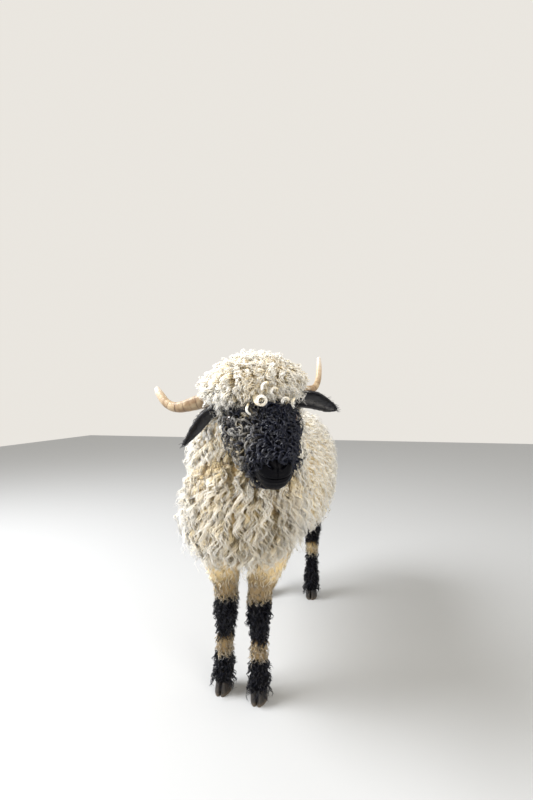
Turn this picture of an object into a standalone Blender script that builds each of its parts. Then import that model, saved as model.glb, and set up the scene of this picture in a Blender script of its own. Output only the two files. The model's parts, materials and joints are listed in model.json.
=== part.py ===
"""A valais blacknose sheep, standing, life size.

The body is drawn as tubes of named sizes, the fleece is set on it clump by clump, and the whole is
then parted with thin cuts into a torso, neck, head, tail and legs. Ears, horns, eyes and hooves
are pieces of their own.

Design axes: the origin is on the floor between the forelegs, the sheep faces -Y, its left side is
+X and +Z is up. The last step moves everything so that the origin is under the middle of the sheep.
"""

import math

import bmesh
import bpy
import numpy as np
from mathutils import Matrix, Vector
from mathutils.bvhtree import BVHTree
from mathutils.kdtree import KDTree

# Driving sizes, in metres
GAP = 0.0004  # clearance between touching pieces
EAR_GAP = 0.0006  # the same at the sharp rims of the ears, measured along the rim
HAIR_THIN = 0.00002
BLUNTNESS = 0.35  # how far a tube's end stands out, as a share of its smallest half size
FLEECE = 0.050  # from the skin to the tips of the body fleece
LEG_HAIR = 0.010  # the same on the knees and below
FACE_HAIR = 0.018  # the same on the cheeks and forehead
MUZZLE_HAIR = 0.001
MUZZLE_START = -0.225  # along the head from the poll, where the curls end
CURLS_START = -0.150  # and from where they are full
SLEEVE = 0.012  # how far outside a coat the cuts round a limb run
CROWN_SLEEVE = 0.022
WOOL_END = 0.24  # height where the short hair of the leg begins to turn to fleece
FLEECE_START = 0.46  # height from which the fleece is full
SOLE = 0.034  # height of the hooves

# The head: where the poll is, and how it is carried
POLL = Vector((0.053, -0.082, 0.838))
HEAD_YAW = math.radians(24.5)
HEAD_ROLL = math.radians(-6)
HEAD_PITCH = math.radians(20)
FACE_ROLL = math.radians(4.5)  # of the face against the crown

# Every table below gives sizes at the skin
# The trunk from tail to breast: x, y, z, half width, height above and depth below the line
TRUNK = (
    (0, 0.735, 0.600, 0.050, 0.060, 0.070),
    (0, 0.700, 0.600, 0.095, 0.100, 0.110),
    (0, 0.640, 0.590, 0.132, 0.140, 0.140),
    (0, 0.560, 0.575, 0.150, 0.165, 0.150),
    (0, 0.450, 0.560, 0.162, 0.178, 0.160),
    (0, 0.320, 0.555, 0.168, 0.180, 0.165),
    (0, 0.190, 0.555, 0.155, 0.180, 0.154),
    (0, 0.070, 0.555, 0.133, 0.184, 0.136),
    (0, -0.010, 0.550, 0.120, 0.165, 0.119),
    (0, -0.070, 0.540, 0.105, 0.120, 0.101),
    (0, -0.110, 0.535, 0.079, 0.085, 0.081),
    (0, -0.130, 0.530, 0.042, 0.045, 0.045),
)
# The neck from the shoulders to the skull: x, y, z, half width, towards the nape and the throat
NECK = (
    (0.000, 0.090, 0.550, 0.125, 0.125, 0.140),
    (-0.001, 0.055, 0.615, 0.120, 0.120, 0.130),
    (0.001, 0.020, 0.685, 0.122, 0.108, 0.095),
    (0.010, -0.008, 0.745, 0.112, 0.094, 0.068),
    (0.024, -0.030, 0.795, 0.094, 0.078, 0.050),
)
NAPE_SIDE = Vector((0, 0.89, 0.45)).normalized()
# The head along its own axis, nape to nose: x, y, z, half width, height, depth
SKULL = (
    (0, 0.045, -0.055, 0.034, 0.030, 0.036),
    (0, 0.012, -0.050, 0.058, 0.048, 0.060),
    (0, -0.035, -0.050, 0.074, 0.052, 0.080),
    (0, -0.080, -0.052, 0.080, 0.050, 0.086),
    (0, -0.120, -0.058, 0.072, 0.048, 0.080),
    (0, -0.160, -0.066, 0.060, 0.044, 0.070),
    (0, -0.200, -0.075, 0.048, 0.040, 0.060),
    (0, -0.232, -0.083, 0.041, 0.036, 0.053),
    (0, -0.256, -0.088, 0.034, 0.030, 0.042),
    (0, -0.268, -0.090, 0.021, 0.019, 0.026),
)
# The left legs, top to foot: x, y, z, half width, front, back
FORELEG = (
    (0.080, 0.020, 0.560, 0.045, 0.075, 0.085),
    (0.074, 0.010, 0.450, 0.048, 0.060, 0.062),
    (0.057, 0.004, 0.360, 0.036, 0.040, 0.044),
    (0.043, 0.000, 0.290, 0.024, 0.026, 0.030),
    (0.040, -0.002, 0.235, 0.024, 0.025, 0.025),
    (0.040, 0.000, 0.180, 0.017, 0.017, 0.018),
    (0.040, 0.000, 0.120, 0.016, 0.016, 0.018),
    (0.040, 0.004, 0.078, 0.021, 0.022, 0.024),
    (0.040, -0.004, 0.034, 0.020, 0.022, 0.026),
)
HINDLEG = (
    (0.085, 0.590, 0.560, 0.060, 0.110, 0.095),
    (0.092, 0.580, 0.460, 0.060, 0.090, 0.090),
    (0.096, 0.610, 0.385, 0.044, 0.056, 0.060),
    (0.098, 0.660, 0.310, 0.030, 0.032, 0.036),
    (0.099, 0.690, 0.262, 0.022, 0.030, 0.030),
    (0.099, 0.688, 0.200, 0.017, 0.020, 0.020),
    (0.099, 0.678, 0.130, 0.017, 0.018, 0.019),
    (0.099, 0.672, 0.082, 0.021, 0.022, 0.025),
    (0.099, 0.662, 0.034, 0.020, 0.022, 0.026),
)
TAIL = (
    (0.000, 0.690, 0.680, 0.028, 0.024, 0.024),
    (0.000, 0.758, 0.655, 0.026, 0.020, 0.020),
    (0.000, 0.792, 0.580, 0.024, 0.018, 0.018),
    (0.000, 0.798, 0.500, 0.018, 0.014, 0.014),
    (0.000, 0.794, 0.450, 0.008, 0.006, 0.006),
)
# The right legs mirror the left ones, apart from these steps of the foot: outwards and backwards
RIGHT_FORE_STEP = (0.030, 0.018)
RIGHT_HIND_STEP = (0.000, -0.030)

LEG_TOP = 0.560
# The hooves: claw outline seen from above, on the outer side of the left foot, toe towards -Y
CLAW = (
    (0.001, 0.024),
    (0.001, -0.024),
    (0.006, -0.031),
    (0.013, -0.026),
    (0.022, -0.008),
    (0.024, 0.010),
    (0.019, 0.022),
)
CLAW_WALL = 0.001  # from the middle of the foot to the inner wall of a claw
# Up the hoof: height as a share of it, size of the outline and how far it leans back
CLAW_RINGS = ((0.0, 1.00, 0.000), (0.4, 0.96, 0.002), (1.0, 0.86, 0.006))

# The crown of wool over the poll, seen with the head held level: its middle and its three radii
CROWN_MIDDLE = Vector((-0.004, -0.010, 0.024))
CROWN = (0.139, 0.112, 0.096)
CROWN_SKULL = (0.068, 0.045, 0.032)

EYE = Vector((0.0730, -0.092, -0.034))
EYE_RADIUS = 0.0145
EYE_AXIS = Vector((0.93, -0.33, 0.14)).normalized()
LID = (0.0135, 0.0102, 0.0036)  # half length and half height of the slit, thickness of the lid
LID_OUT = 0.0085  # from the middle of the eye
LID_STEPS = 14

NOSTRIL = Vector((0.0165, -0.260, -0.068))
NOSTRIL_SIZE = (0.0032, 0.0100, 0.0075)
NOSTRIL_SLANT = math.radians(38)
NOSTRIL_TURN = math.radians(-20)
MOUTH_HEIGHT = -0.078
MOUTH_CORNER = -0.195
MOUTH_TILT = math.radians(13)
MOUTH_GAPE = 0.0024
MOUTH_DEPTH = 0.004
LIP = 0.0065

EAR_ROOT = {"left": Vector((0.060, -0.010, -0.026)), "right": Vector((-0.065, -0.027, -0.014))}
EAR_LENGTH = 0.172
EAR_DROOP = {"left": (-9, 29), "right": (0, 54)}  # degrees under the level, at the root and the tip
EAR_BEND = {"left": (0.26, 0.66), "right": (0.16, 0.58)}  # where along the ear it turns down
EAR_FRONT = Vector((0, -1, -0.25))  # where it opens
EAR_ROLL = {"left": 0, "right": -40}  # degrees that it is turned about its own length
EAR_BACK = math.radians(7)
EAR_TURNS = (-1, -0.7, -0.35, 0, 0.35, 0.7, 1)  # points across the leaf, in half angles of its cup
# Along the ear: place, half width of the leaf laid flat, half angle of its cup, thickness
EAR = (
    (0.00, 0.025, 145, 0.0055),
    (0.14, 0.029, 115, 0.0050),
    (0.32, 0.032, 85, 0.0045),
    (0.50, 0.031, 70, 0.0042),
    (0.68, 0.026, 62, 0.0038),
    (0.84, 0.018, 56, 0.0032),
    (0.95, 0.010, 50, 0.0026),
    (1.00, 0.004, 40, 0.0020),
)
# A horn, seen with the head held level: x, y, z and radius
HORN = (
    (0.036, 0.000, -0.002, 0.0215),
    (0.090, 0.012, 0.004, 0.0205),
    (0.150, 0.032, -0.008, 0.0175),
    (0.205, 0.052, -0.016, 0.0142),
    (0.234, 0.070, -0.004, 0.0122),
    (0.251, 0.088, 0.022, 0.0104),
    (0.257, 0.096, 0.038, 0.0074),
)
HORN_SPREAD = {"left": 0.81, "right": 0.96}
HORN_RISE = {"left": 0.042, "right": 0.0}  # how much higher the tip is carried
HORN_THICKNESS = {"left": 0.76, "right": 1.06}
HORN_RINGS = 0.05  # how much the rings stand out, as a share of the radius

# The clumps of the coat. Spacing of the roots, length along the lie, half width and half thickness,
# and how far the middle of a clump stands off the dense part of the coat
CLUMPS = {
    "fleece": (0.122, 0.165, 0.082, 0.026, 0.004),
    "breast": (0.078, 0.125, 0.046, 0.018, 0.010),
    "crown": (0.068, 0.080, 0.056, 0.032, 0.012),
    "face": (0.060, 0.062, 0.0340, 0.0085, 0.0020),
    "thigh": (0.100, 0.090, 0.052, 0.015, 0.004),
    "tail": (0.080, 0.095, 0.034, 0.011, 0.004),
}
CLUMP_ALONG = ((0.30, 1.0), (0.74, 0.78))  # places along a clump, and its size there
ROOT_SHARE = 0.70  # its size at the root
HANGING_TIP, LYING_TIP = 1.4, 0.1  # how high its tip is carried, in rises
# A clump cut across: its corners, in half widths and half thicknesses
CLUMP_ACROSS = ((-1.0, -0.7), (1.0, -0.7), (0.6, 0.95), (-0.6, 0.95))
CORE = 0.48  # the dense part of a coat, as a share of its length
ROOT_SUNK = 0.8  # how deep a root sits, in half thicknesses
SPREAD = 0.14  # how much the clumps differ in size
TURN = math.radians(14)  # how much they differ in direction
ROOT_CLEAR = (0.010, 0.035)  # of roots from the other pieces, and the same on the neck
BREAST_START = -0.020  # in front of this the fleece hangs in locks
EYE_CLEAR = 0.024
MUZZLE_CLEAR = -0.165
SEED = 5

# The thin cuts
NECK_CUT_PLACE = Vector((0, -0.030, 0.680))
NECK_CUT_TILT = math.radians(36.9)
FORELEG_CUT = 0.400
HINDLEG_CUT = 0.440
TAIL_CUT = 0.645

UPWARD = Vector((0, 0, 1))
FORWARD = Vector((0, -1, 0))
ACROSS = Vector((1, 0, 0))
LEVEL = (
    Matrix.Translation(POLL)
    @ Matrix.Rotation(HEAD_YAW, 4, "Z")
    @ Matrix.Rotation(HEAD_ROLL, 4, "Y")
)
FACE = Matrix.Rotation(FACE_ROLL, 4, "Y")
HEAD = LEVEL @ FACE @ Matrix.Rotation(HEAD_PITCH, 4, "X")


def smooth(stations, count):
    """`count` rows of a Catmull-Rom curve through the stations."""
    rows = np.array(stations, float)
    padded = np.vstack([2 * rows[0] - rows[1], rows, 2 * rows[-1] - rows[-2]])
    found = []
    for place in np.linspace(0, len(rows) - 1, count):
        i = min(int(place), len(rows) - 2)
        a, b, c, d = padded[i : i + 4]
        t = place - i
        bend = (2 * a - 5 * b + 4 * c - d) * t**2 + (3 * b - a - 3 * c + d) * t**3
        found.append((2 * b + (c - a) * t + bend) / 2)
    return np.array(found)


def grown(rows, depth):
    """The rows with their three half sizes larger by a depth, or by a depth for each row."""
    rows = rows.copy()
    rows[:, 3:6] += np.reshape(depth, (-1, 1))
    return rows


def material(name, colour, roughness):
    made = bpy.data.materials.new(name)
    made.use_nodes = True
    shader = made.node_tree.nodes["Principled BSDF"]
    shader.inputs["Base Color"].default_value = (*colour, 1)
    shader.inputs["Roughness"].default_value = roughness
    return made


def new_object(name, bm, collection=None):
    """An object of a finished bmesh, in triangles, with its faces pointing out."""
    bmesh.ops.recalc_face_normals(bm, faces=bm.faces)
    bmesh.ops.triangulate(bm, faces=bm.faces, quad_method="FIXED")
    mesh = bpy.data.meshes.new(name)
    bm.to_mesh(mesh)
    bm.free()
    made = bpy.data.objects.new(name, mesh)
    (collection or bpy.context.scene.collection).objects.link(made)
    return made


def skin_rings(bm, rings, start=None, end=None):
    """A closed surface over rings of points, its ends drawn to a point or filled flat."""
    loops = [[bm.verts.new(point) for point in ring] for ring in rings]
    sides = len(loops[0])
    for first, second in zip(loops, loops[1:]):
        for k in range(sides):
            nxt = (k + 1) % sides
            bm.faces.new((first[k], first[nxt], second[nxt], second[k]))
    for loop, point in ((loops[0], start), (loops[-1], end)):
        if point is None:
            bm.faces.new(loop)
            continue
        pole = bm.verts.new(point)
        for k in range(sides):
            bm.faces.new((loop[k], loop[(k + 1) % sides], pole))


def ring(centre, side, up, half_width, above, below, sides, power=2.0):
    """Points of an oval, squarer the more its power is over 2."""
    points = []
    for k in range(sides):
        angle = 2 * math.pi * (k + 0.5) / sides
        across = math.copysign(abs(math.cos(angle)) ** (2 / power), math.cos(angle))
        along = math.copysign(abs(math.sin(angle)) ** (2 / power), math.sin(angle))
        tall = above if along > 0 else below
        points.append(centre + side * half_width * across + up * tall * along)
    return points


def tube(name, rows, sides, up, place=None, power=2.0, ends=(True, True)):
    """A tube through rows of x, y, z, half width, size up and size down, with blunt or flat ends."""
    place = place or Matrix.Identity(4)
    bm = bmesh.new()
    rings = [ring(Vector(r[:3]), ACROSS, up, *r[3:6], sides, power) for r in rows]
    points = [None, None]
    for k, (end, inner) in enumerate(((rows[0], rows[1]), (rows[-1], rows[-2]))):
        if ends[k]:
            step = Vector(end[:3]) - Vector(inner[:3])
            points[k] = Vector(end[:3]) + step.normalized() * BLUNTNESS * min(end[3:6])
    skin_rings(bm, rings, *points)
    bmesh.ops.transform(bm, matrix=place, verts=bm.verts)
    return new_object(name, bm)


def applied(target):
    """Turns an object's modifiers into its mesh."""
    graph = bpy.context.evaluated_depsgraph_get()
    mesh = bpy.data.meshes.new_from_object(target.evaluated_get(graph))
    target.modifiers.clear()
    target.data = mesh
    return target


def boolean(target, others, operation, solver="MANIFOLD"):
    """One Boolean of the target with a collection of closed objects, which are then removed."""
    tools = bpy.data.collections.new("tools")
    bpy.context.scene.collection.children.link(tools)
    for other in others:
        for home in list(other.users_collection):
            home.objects.unlink(other)
        tools.objects.link(other)
    cut = target.modifiers.new("boolean", "BOOLEAN")
    cut.operation = operation
    cut.solver = solver
    cut.operand_type = "COLLECTION"
    cut.collection = tools
    applied(target)
    for other in others:
        bpy.data.objects.remove(other)
    bpy.data.collections.remove(tools)
    return target


def carve(target, cutters):
    """Cuts the cutters out one after the other, as some of them cross."""
    for cutter in cutters:
        boolean(target, [cutter], "DIFFERENCE")
    return target


def copy_of(thing, name):
    made = bpy.data.objects.new(name, thing.data.copy())
    bpy.context.scene.collection.objects.link(made)
    return made


def swollen(thing, by):
    """A copy whose surface stands out by the clearance, to cut its socket with."""
    made = copy_of(thing, thing.name + "_socket")
    normals = [v.normal.copy() for v in made.data.vertices]
    for vertex, normal in zip(made.data.vertices, normals):
        vertex.co += normal * by
    return made


def keep_largest(thing):
    """Drops the loose scraps that a cut leaves, and parts walls that touch in a point."""
    bm = bmesh.new()
    bm.from_mesh(thing.data)
    bmesh.ops.dissolve_degenerate(bm, dist=HAIR_THIN, edges=bm.edges)
    bm.normal_update()
    places = KDTree(len(bm.verts))
    for vertex in bm.verts:
        places.insert(vertex.co, vertex.index)
    places.balance()
    touching = [v for v in bm.verts if len(places.find_range(v.co, HAIR_THIN)) > 1]
    for vertex in touching:
        vertex.co -= vertex.normal * GAP / 4
    bm.verts.ensure_lookup_table()
    seen, shells = set(), []
    for start in bm.verts:
        if start in seen:
            continue
        seen.add(start)
        shell, edge_of = [start], [start]
        while edge_of:
            for edge in edge_of.pop().link_edges:
                for vertex in edge.verts:
                    if vertex not in seen:
                        seen.add(vertex)
                        shell.append(vertex)
                        edge_of.append(vertex)
        shells.append(shell)
    shells.sort(key=len)
    for shell in shells[:-1]:
        bmesh.ops.delete(bm, geom=shell, context="VERTS")
    bm.to_mesh(thing.data)
    bm.free()
    return thing


def box(name, low, high, place=None):
    bm = bmesh.new()
    bmesh.ops.create_cube(bm, size=1)
    low, high = Vector(low), Vector(high)
    bmesh.ops.scale(bm, vec=high - low, verts=bm.verts)
    bmesh.ops.translate(bm, vec=(low + high) / 2, verts=bm.verts)
    bmesh.ops.transform(bm, matrix=place or Matrix.Identity(4), verts=bm.verts)
    return new_object(name, bm)


def ellipsoid(name, middle, radii, place, sides=24, steps=12):
    bm = bmesh.new()
    x, y, z = radii
    rings = []
    for k in range(1, steps):
        angle = math.pi * k / steps
        level = middle + UPWARD * z * math.cos(angle)
        wide, long = x * math.sin(angle), y * math.sin(angle)
        rings.append(ring(level, ACROSS, FORWARD, wide, long, long, sides))
    skin_rings(bm, rings, middle + UPWARD * z, middle - UPWARD * z)
    bmesh.ops.transform(bm, matrix=place, verts=bm.verts)
    return new_object(name, bm)


def sweep(name, centres, radii, sides, place=None):
    """A round bar along a bent line."""
    bm = bmesh.new()
    rings = []
    side = None
    for k, centre in enumerate(centres):
        ahead = centres[min(k + 1, len(centres) - 1)] - centres[max(k - 1, 0)]
        side = ahead.cross(side.cross(ahead) if side else FORWARD).normalized()
        up = side.cross(ahead).normalized()
        rings.append(ring(centre, side, up, radii[k], radii[k], radii[k], sides))
    skin_rings(bm, rings)
    bmesh.ops.transform(bm, matrix=place or Matrix.Identity(4), verts=bm.verts)
    return new_object(name, bm)


def coat_at(z):
    """The length of the coat on a leg or the trunk at a height."""
    t = np.clip((z - WOOL_END) / (FLEECE_START - WOOL_END), 0, 1)
    return LEG_HAIR + (FLEECE - LEG_HAIR) * t * t * (3 - 2 * t)


def face_coat(y):
    """The length of the curls along the head, which end at the bare muzzle."""
    t = np.clip((y - MUZZLE_START) / (CURLS_START - MUZZLE_START), 0, 1)
    return MUZZLE_HAIR + (FACE_HAIR - MUZZLE_HAIR) * t * t * (3 - 2 * t)


def skull_rows(count, share, more=0):
    """The head with its coat grown to a share of its length, and a little more all round."""
    rows = smooth(SKULL, count)
    return grown(rows, face_coat(rows[:, 1]) * share + more)


def rows_below(rows, z):
    """The rows of a leg or the tail from a height down."""
    k = int(np.argmax(rows[:, 2] < z))
    share = (rows[k - 1, 2] - z) / (rows[k - 1, 2] - rows[k, 2])
    return np.vstack([rows[k - 1] + share * (rows[k] - rows[k - 1]), rows[k:]])


def leg_rows(table, right, step):
    rows = smooth(table, 13)
    rows[-1, 2] = SOLE
    if right:
        down = (LEG_TOP - rows[:, 2]) / LEG_TOP
        rows[:, 0] = -rows[:, 0] - step[0] * down
        rows[:, 1] += step[1] * down
    return rows


LEGS = {
    "fore_left": (leg_rows(FORELEG, False, (0, 0)), FORELEG_CUT),
    "fore_right": (leg_rows(FORELEG, True, RIGHT_FORE_STEP), FORELEG_CUT),
    "hind_left": (leg_rows(HINDLEG, False, (0, 0)), HINDLEG_CUT),
    "hind_right": (leg_rows(HINDLEG, True, RIGHT_HIND_STEP), HINDLEG_CUT),
}
TAIL_ROWS = smooth(TAIL, 7)
TAIL_HAIR = 0.022


def crown_radii(share):
    """The radii of the wool of the crown, from the skull at 0 to the tips at 1."""
    return [low + (high - low) * share for low, high in zip(CROWN_SKULL, CROWN)]


def leg_share(z, share):
    """Below the knee the hair is short and lies close, so there the leg is full."""
    t = np.clip((z - WOOL_END) / CLUMPS["thigh"][1], 0, 1)
    return 1 + (share - 1) * t


def body(share):
    """The pieces of the body with their coat grown to a share of its length."""
    pieces = [
        tube("torso", grown(smooth(TRUNK, 14), FLEECE * share), 20, UPWARD, power=2.3),
        tube("neck", grown(smooth(NECK, 6), FLEECE * share), 18, NAPE_SIDE),
        tube("head", skull_rows(15, share), 18, UPWARD, HEAD, 2.2),
        ellipsoid("crown", CROWN_MIDDLE, crown_radii(share), LEVEL, 16, 8),
        tube("tail", grown(TAIL_ROWS, TAIL_HAIR * share), 10, FORWARD),
    ]
    for name, (rows, _) in LEGS.items():
        coated = grown(rows, coat_at(rows[:, 2]) * leg_share(rows[:, 2], share))
        pieces.append(tube("leg_" + name, coated, 12, FORWARD, ends=(True, False)))
    return pieces


def tree_of(thing):
    mesh = thing.data
    return BVHTree.FromPolygons([v.co for v in mesh.vertices], [f.vertices for f in mesh.polygons])


def scatter(thing, spacing, allowed, rng):
    """Points and normals spread evenly over the allowed part of a surface of triangles."""
    mesh = thing.data
    corners = np.array([[mesh.vertices[v].co for v in face.vertices] for face in mesh.polygons])
    cross = np.cross(corners[:, 1] - corners[:, 0], corners[:, 2] - corners[:, 0])
    area = np.linalg.norm(cross, axis=1) / 2
    tries = int(14 * area.sum() / spacing**2)
    picked = rng.choice(len(area), tries, p=area / area.sum())
    u, v = rng.random(tries), rng.random(tries)
    fold = u + v > 1
    u[fold], v[fold] = 1 - u[fold], 1 - v[fold]
    edges = corners[picked, 1] - corners[picked, 0], corners[picked, 2] - corners[picked, 0]
    points = corners[picked, 0] + u[:, None] * edges[0] + v[:, None] * edges[1]
    normals = cross[picked] / (2 * area[picked, None])
    kept = np.empty((0, 3))
    for point, normal in zip(points, normals):
        if len(kept) and np.min(np.linalg.norm(kept - point, axis=1)) < spacing:
            continue
        if allowed(Vector(point)):
            kept = np.vstack([kept, point])
            yield Vector(point), Vector(normal)


def lie_of_coat(kind, point, normal):
    """The way the coat lies at a point: down and back, and on the crown away from its middle."""
    if kind == "crown":
        local = LEVEL.inverted() @ point - CROWN_MIDDLE
        fall = LEVEL.to_3x3() @ Vector((local.x, local.y, -0.05))
    elif kind == "face":
        fall = HEAD.to_3x3() @ Vector((0, -1, -0.6))
    elif kind == "fleece":
        fall = Vector((2.5 * point.x, 0.5, -1))
    else:
        fall = Vector((0, 0.1, -1))
    fall = fall - normal * fall.dot(normal)
    return fall.normalized() if fall.length > 0.15 else (fall + Vector((0, 0.3, 0))).normalized()


def clump(kind, point, normal, rng):
    """A rounded clump: sunk root, swollen middle and soft tip, bent along the lie of the coat."""
    _, length, width, thick, rise = CLUMPS[kind]
    size = 1 + SPREAD * rng.uniform(-1, 1)
    length, width, rise = length * size, width * (2 - size), rise * (1 + SPREAD * rng.uniform(-1, 1))
    lie = Matrix.Rotation(TURN * rng.uniform(-1, 1), 3, normal) @ lie_of_coat(kind, point, normal)
    across = normal.cross(lie).normalized()
    tip_rise = HANGING_TIP if kind == "breast" else LYING_TIP
    path = [(point - normal * thick * ROOT_SUNK, ROOT_SHARE)]
    for place, share in CLUMP_ALONG:
        path.append((point + normal * rise + lie * length * place, share))
    tip = point + normal * rise * tip_rise + lie * length
    bm = bmesh.new()
    rings = []
    centres = [centre for centre, _ in path] + [tip]
    for k, (centre, share) in enumerate(path):
        ahead = centres[k + 1] - centres[max(k - 1, 0)]
        up = ahead.cross(across).normalized()
        up = up if up.dot(normal) > 0 else -up
        rings.append([centre + (across * width * u + up * thick * v) * share for u, v in CLUMP_ACROSS])
    skin_rings(bm, rings, None, tip)
    return new_object("clump", bm)


def coat_kind(piece, point):
    """Which clumps grow at a point of a piece, if any."""
    if piece in ("crown", "tail"):
        return piece
    if piece == "head":
        local = HEAD.inverted() @ point
        beside = (Vector((abs(local.x), local.y, local.z)) - EYE).length
        return "face" if local.y > MUZZLE_CLEAR and beside > EYE_CLEAR else None
    if piece.startswith("leg"):
        return "thigh" if point.z > WOOL_END + CLUMPS["thigh"][1] / 2 else None
    return "breast" if piece == "neck" or point.y < BREAST_START else "fleece"


def coat(pieces):
    """The clumps over all pieces, none of them rooted inside another piece."""
    rng = np.random.default_rng(SEED)
    trees = {piece.name: tree_of(piece) for piece in pieces}
    found = []
    for piece in pieces:
        others = [tree for name, tree in trees.items() if name != piece.name]
        for kind in CLUMPS:

            def allowed(point):
                if coat_kind(piece.name, point) != kind:
                    return False
                for tree in others:
                    near, normal, _, _ = tree.find_nearest(point)
                    if (point - near).dot(normal) < ROOT_CLEAR[piece.name == "neck"]:
                        return False
                return True

            for point, normal in list(scatter(piece, CLUMPS[kind][0], allowed, rng)):
                found.append(clump(kind, point, normal, rng))
    return found


def head_sleeve(gap):
    """The cut round the head: outside its coat, and through the wool where the neck joins it."""
    skull = tube("sleeve", skull_rows(10, 1, SLEEVE + gap), 14, UPWARD, HEAD, 2.2)
    radii = [radius + CROWN_SLEEVE + gap for radius in CROWN]
    return boolean(skull, [ellipsoid("sleeve", CROWN_MIDDLE, radii, LEVEL, 16, 8)], "UNION")


def neck_cutter(gap):
    """Everything above the slanting plane from the withers to the breast."""
    place = Matrix.Translation(NECK_CUT_PLACE) @ Matrix.Rotation(NECK_CUT_TILT, 4, "X")
    return box("cutter", (-0.5, -0.7, gap), (0.5, 0.7, 0.7), place)


def leg_sleeve(name, gap):
    """The cut round a leg, which stays on its own side of the middle."""
    rows, top = LEGS[name]
    rows = rows_below(rows, top + gap)
    rows = np.vstack([rows, rows[-1]])
    rows[-1, 2] = -SOLE
    coated = grown(rows, coat_at(rows[:, 2]) + SLEEVE + gap)
    sleeve = tube("sleeve", coated, 12, FORWARD, ends=(False, False))
    sign = 1 if name.endswith("left") else -1
    low, high = sorted((-0.5 * sign, sign * (GAP / 2 - gap)))
    return boolean(sleeve, [box("far_side", (low, -0.5, -0.5), (high, 1.5, 1.5))], "DIFFERENCE")


def tail_sleeve(gap):
    rows = rows_below(TAIL_ROWS, TAIL_CUT + gap)
    rows = np.vstack([rows, rows[-1]])
    rows[-1, 2] -= TAIL_HAIR + SLEEVE
    coated = grown(rows, TAIL_HAIR + SLEEVE + gap)
    return tube("sleeve", coated, 12, FORWARD, ends=(False, False))


def part_whole(whole):
    """The torso, neck, head, tail and legs, each cut from the whole with a gap to its neighbours."""
    torso = boolean(copy_of(whole, "torso"), [neck_cutter(0)], "DIFFERENCE")
    carve(torso, [leg_sleeve(name, GAP) for name in LEGS] + [tail_sleeve(GAP)])
    neck = boolean(copy_of(whole, "neck"), [neck_cutter(GAP)], "INTERSECT")
    boolean(neck, [head_sleeve(GAP)], "DIFFERENCE")
    parts = {
        "torso": torso,
        "neck": neck,
        "head": boolean(copy_of(whole, "head"), [head_sleeve(0)], "INTERSECT"),
        "tail": boolean(copy_of(whole, "tail"), [tail_sleeve(0)], "INTERSECT"),
    }
    for name in LEGS:
        node = "leg_" + name
        parts[node] = boolean(copy_of(whole, node), [leg_sleeve(name, 0)], "INTERSECT")
    bpy.data.objects.remove(whole)
    for thing in parts.values():
        keep_largest(thing)
    return parts


def eye_place(right):
    """The middle of an eye, with Z looking out of the head and X along the slit."""
    sign = -1 if right else 1
    middle = Vector((EYE.x * sign, EYE.y, EYE.z))
    axis = Vector((EYE_AXIS.x * sign, EYE_AXIS.y, EYE_AXIS.z))
    along = UPWARD.cross(axis).normalized()
    turn = Matrix((along, axis.cross(along), axis)).transposed().to_4x4()
    return HEAD @ Matrix.Translation(middle) @ turn


def lid(right):
    """The rim of both lids round the eye."""
    bm = bmesh.new()
    length, height, thick = LID
    loops = []
    for k in range(LID_STEPS):
        angle = 2 * math.pi * k / LID_STEPS
        out = Vector((math.cos(angle), math.sin(angle), 0))
        centre = Vector((length * out.x, height * out.y, LID_OUT - 0.004 * abs(out.x) ** 2))
        loops.append([bm.verts.new(p) for p in ring(centre, out, UPWARD, thick, thick, thick, 5)])
    for k, loop in enumerate(loops):
        after = loops[(k + 1) % len(loops)]
        for j in range(5):
            bm.faces.new((loop[j], loop[(j + 1) % 5], after[(j + 1) % 5], after[j]))
    bmesh.ops.transform(bm, matrix=eye_place(right), verts=bm.verts)
    return new_object("lid", bm)


def lip(above):
    """A soft roll round the muzzle, above or below the line of the mouth."""
    rows = smooth(SKULL, 60)
    rows = rows[rows[:, 1] < MOUTH_CORNER][::4]
    points, sizes = [], []
    for k, (y, line, width, depth) in enumerate(rows[:, (1, 2, 3, 5)]):
        height = MOUTH_HEIGHT + math.tan(MOUTH_TILT) * (y - MOUTH_CORNER)
        height += LIP * (0.9 if above else -0.9)
        rise = min(abs(height - line) / depth, 0.97)
        points.append(Vector((width * (1 - rise**2) ** 0.5 - LIP * 0.6, y + LIP * 0.5, height)))
        sizes.append(LIP * min(1, 0.4 + 0.27 * k))
    points += [Vector((-p.x, p.y, p.z)) for p in reversed(points)]
    return sweep("lip", points, sizes + sizes[::-1], 5, HEAD)


def mouth_groove():
    """A slit round the muzzle, as deep as the lips meet."""
    shell = tube("groove", skull_rows(12, 1, SLEEVE), 14, UPWARD, HEAD, 2.2)
    inner = tube("inner", skull_rows(12, 0, -MOUTH_DEPTH), 14, UPWARD, HEAD, 2.2)
    boolean(shell, [inner], "DIFFERENCE")
    hinge = Vector((0, MOUTH_CORNER, MOUTH_HEIGHT))
    place = HEAD @ Matrix.Translation(hinge) @ Matrix.Rotation(MOUTH_TILT, 4, "X")
    slab = box("slab", (-0.1, -0.2, -MOUTH_GAPE / 2), (0.1, 0, MOUTH_GAPE / 2), place)
    return boolean(shell, [slab], "INTERSECT")


def nostril(right):
    sign = -1 if right else 1
    place = HEAD @ Matrix.Translation(Vector((NOSTRIL.x * sign, NOSTRIL.y, NOSTRIL.z)))
    place = place @ Matrix.Rotation(NOSTRIL_SLANT * sign, 4, "Y")
    place = place @ Matrix.Rotation(NOSTRIL_TURN * sign, 4, "Z")
    return ellipsoid("nostril", Vector(), NOSTRIL_SIZE, place, 10, 6)


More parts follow.
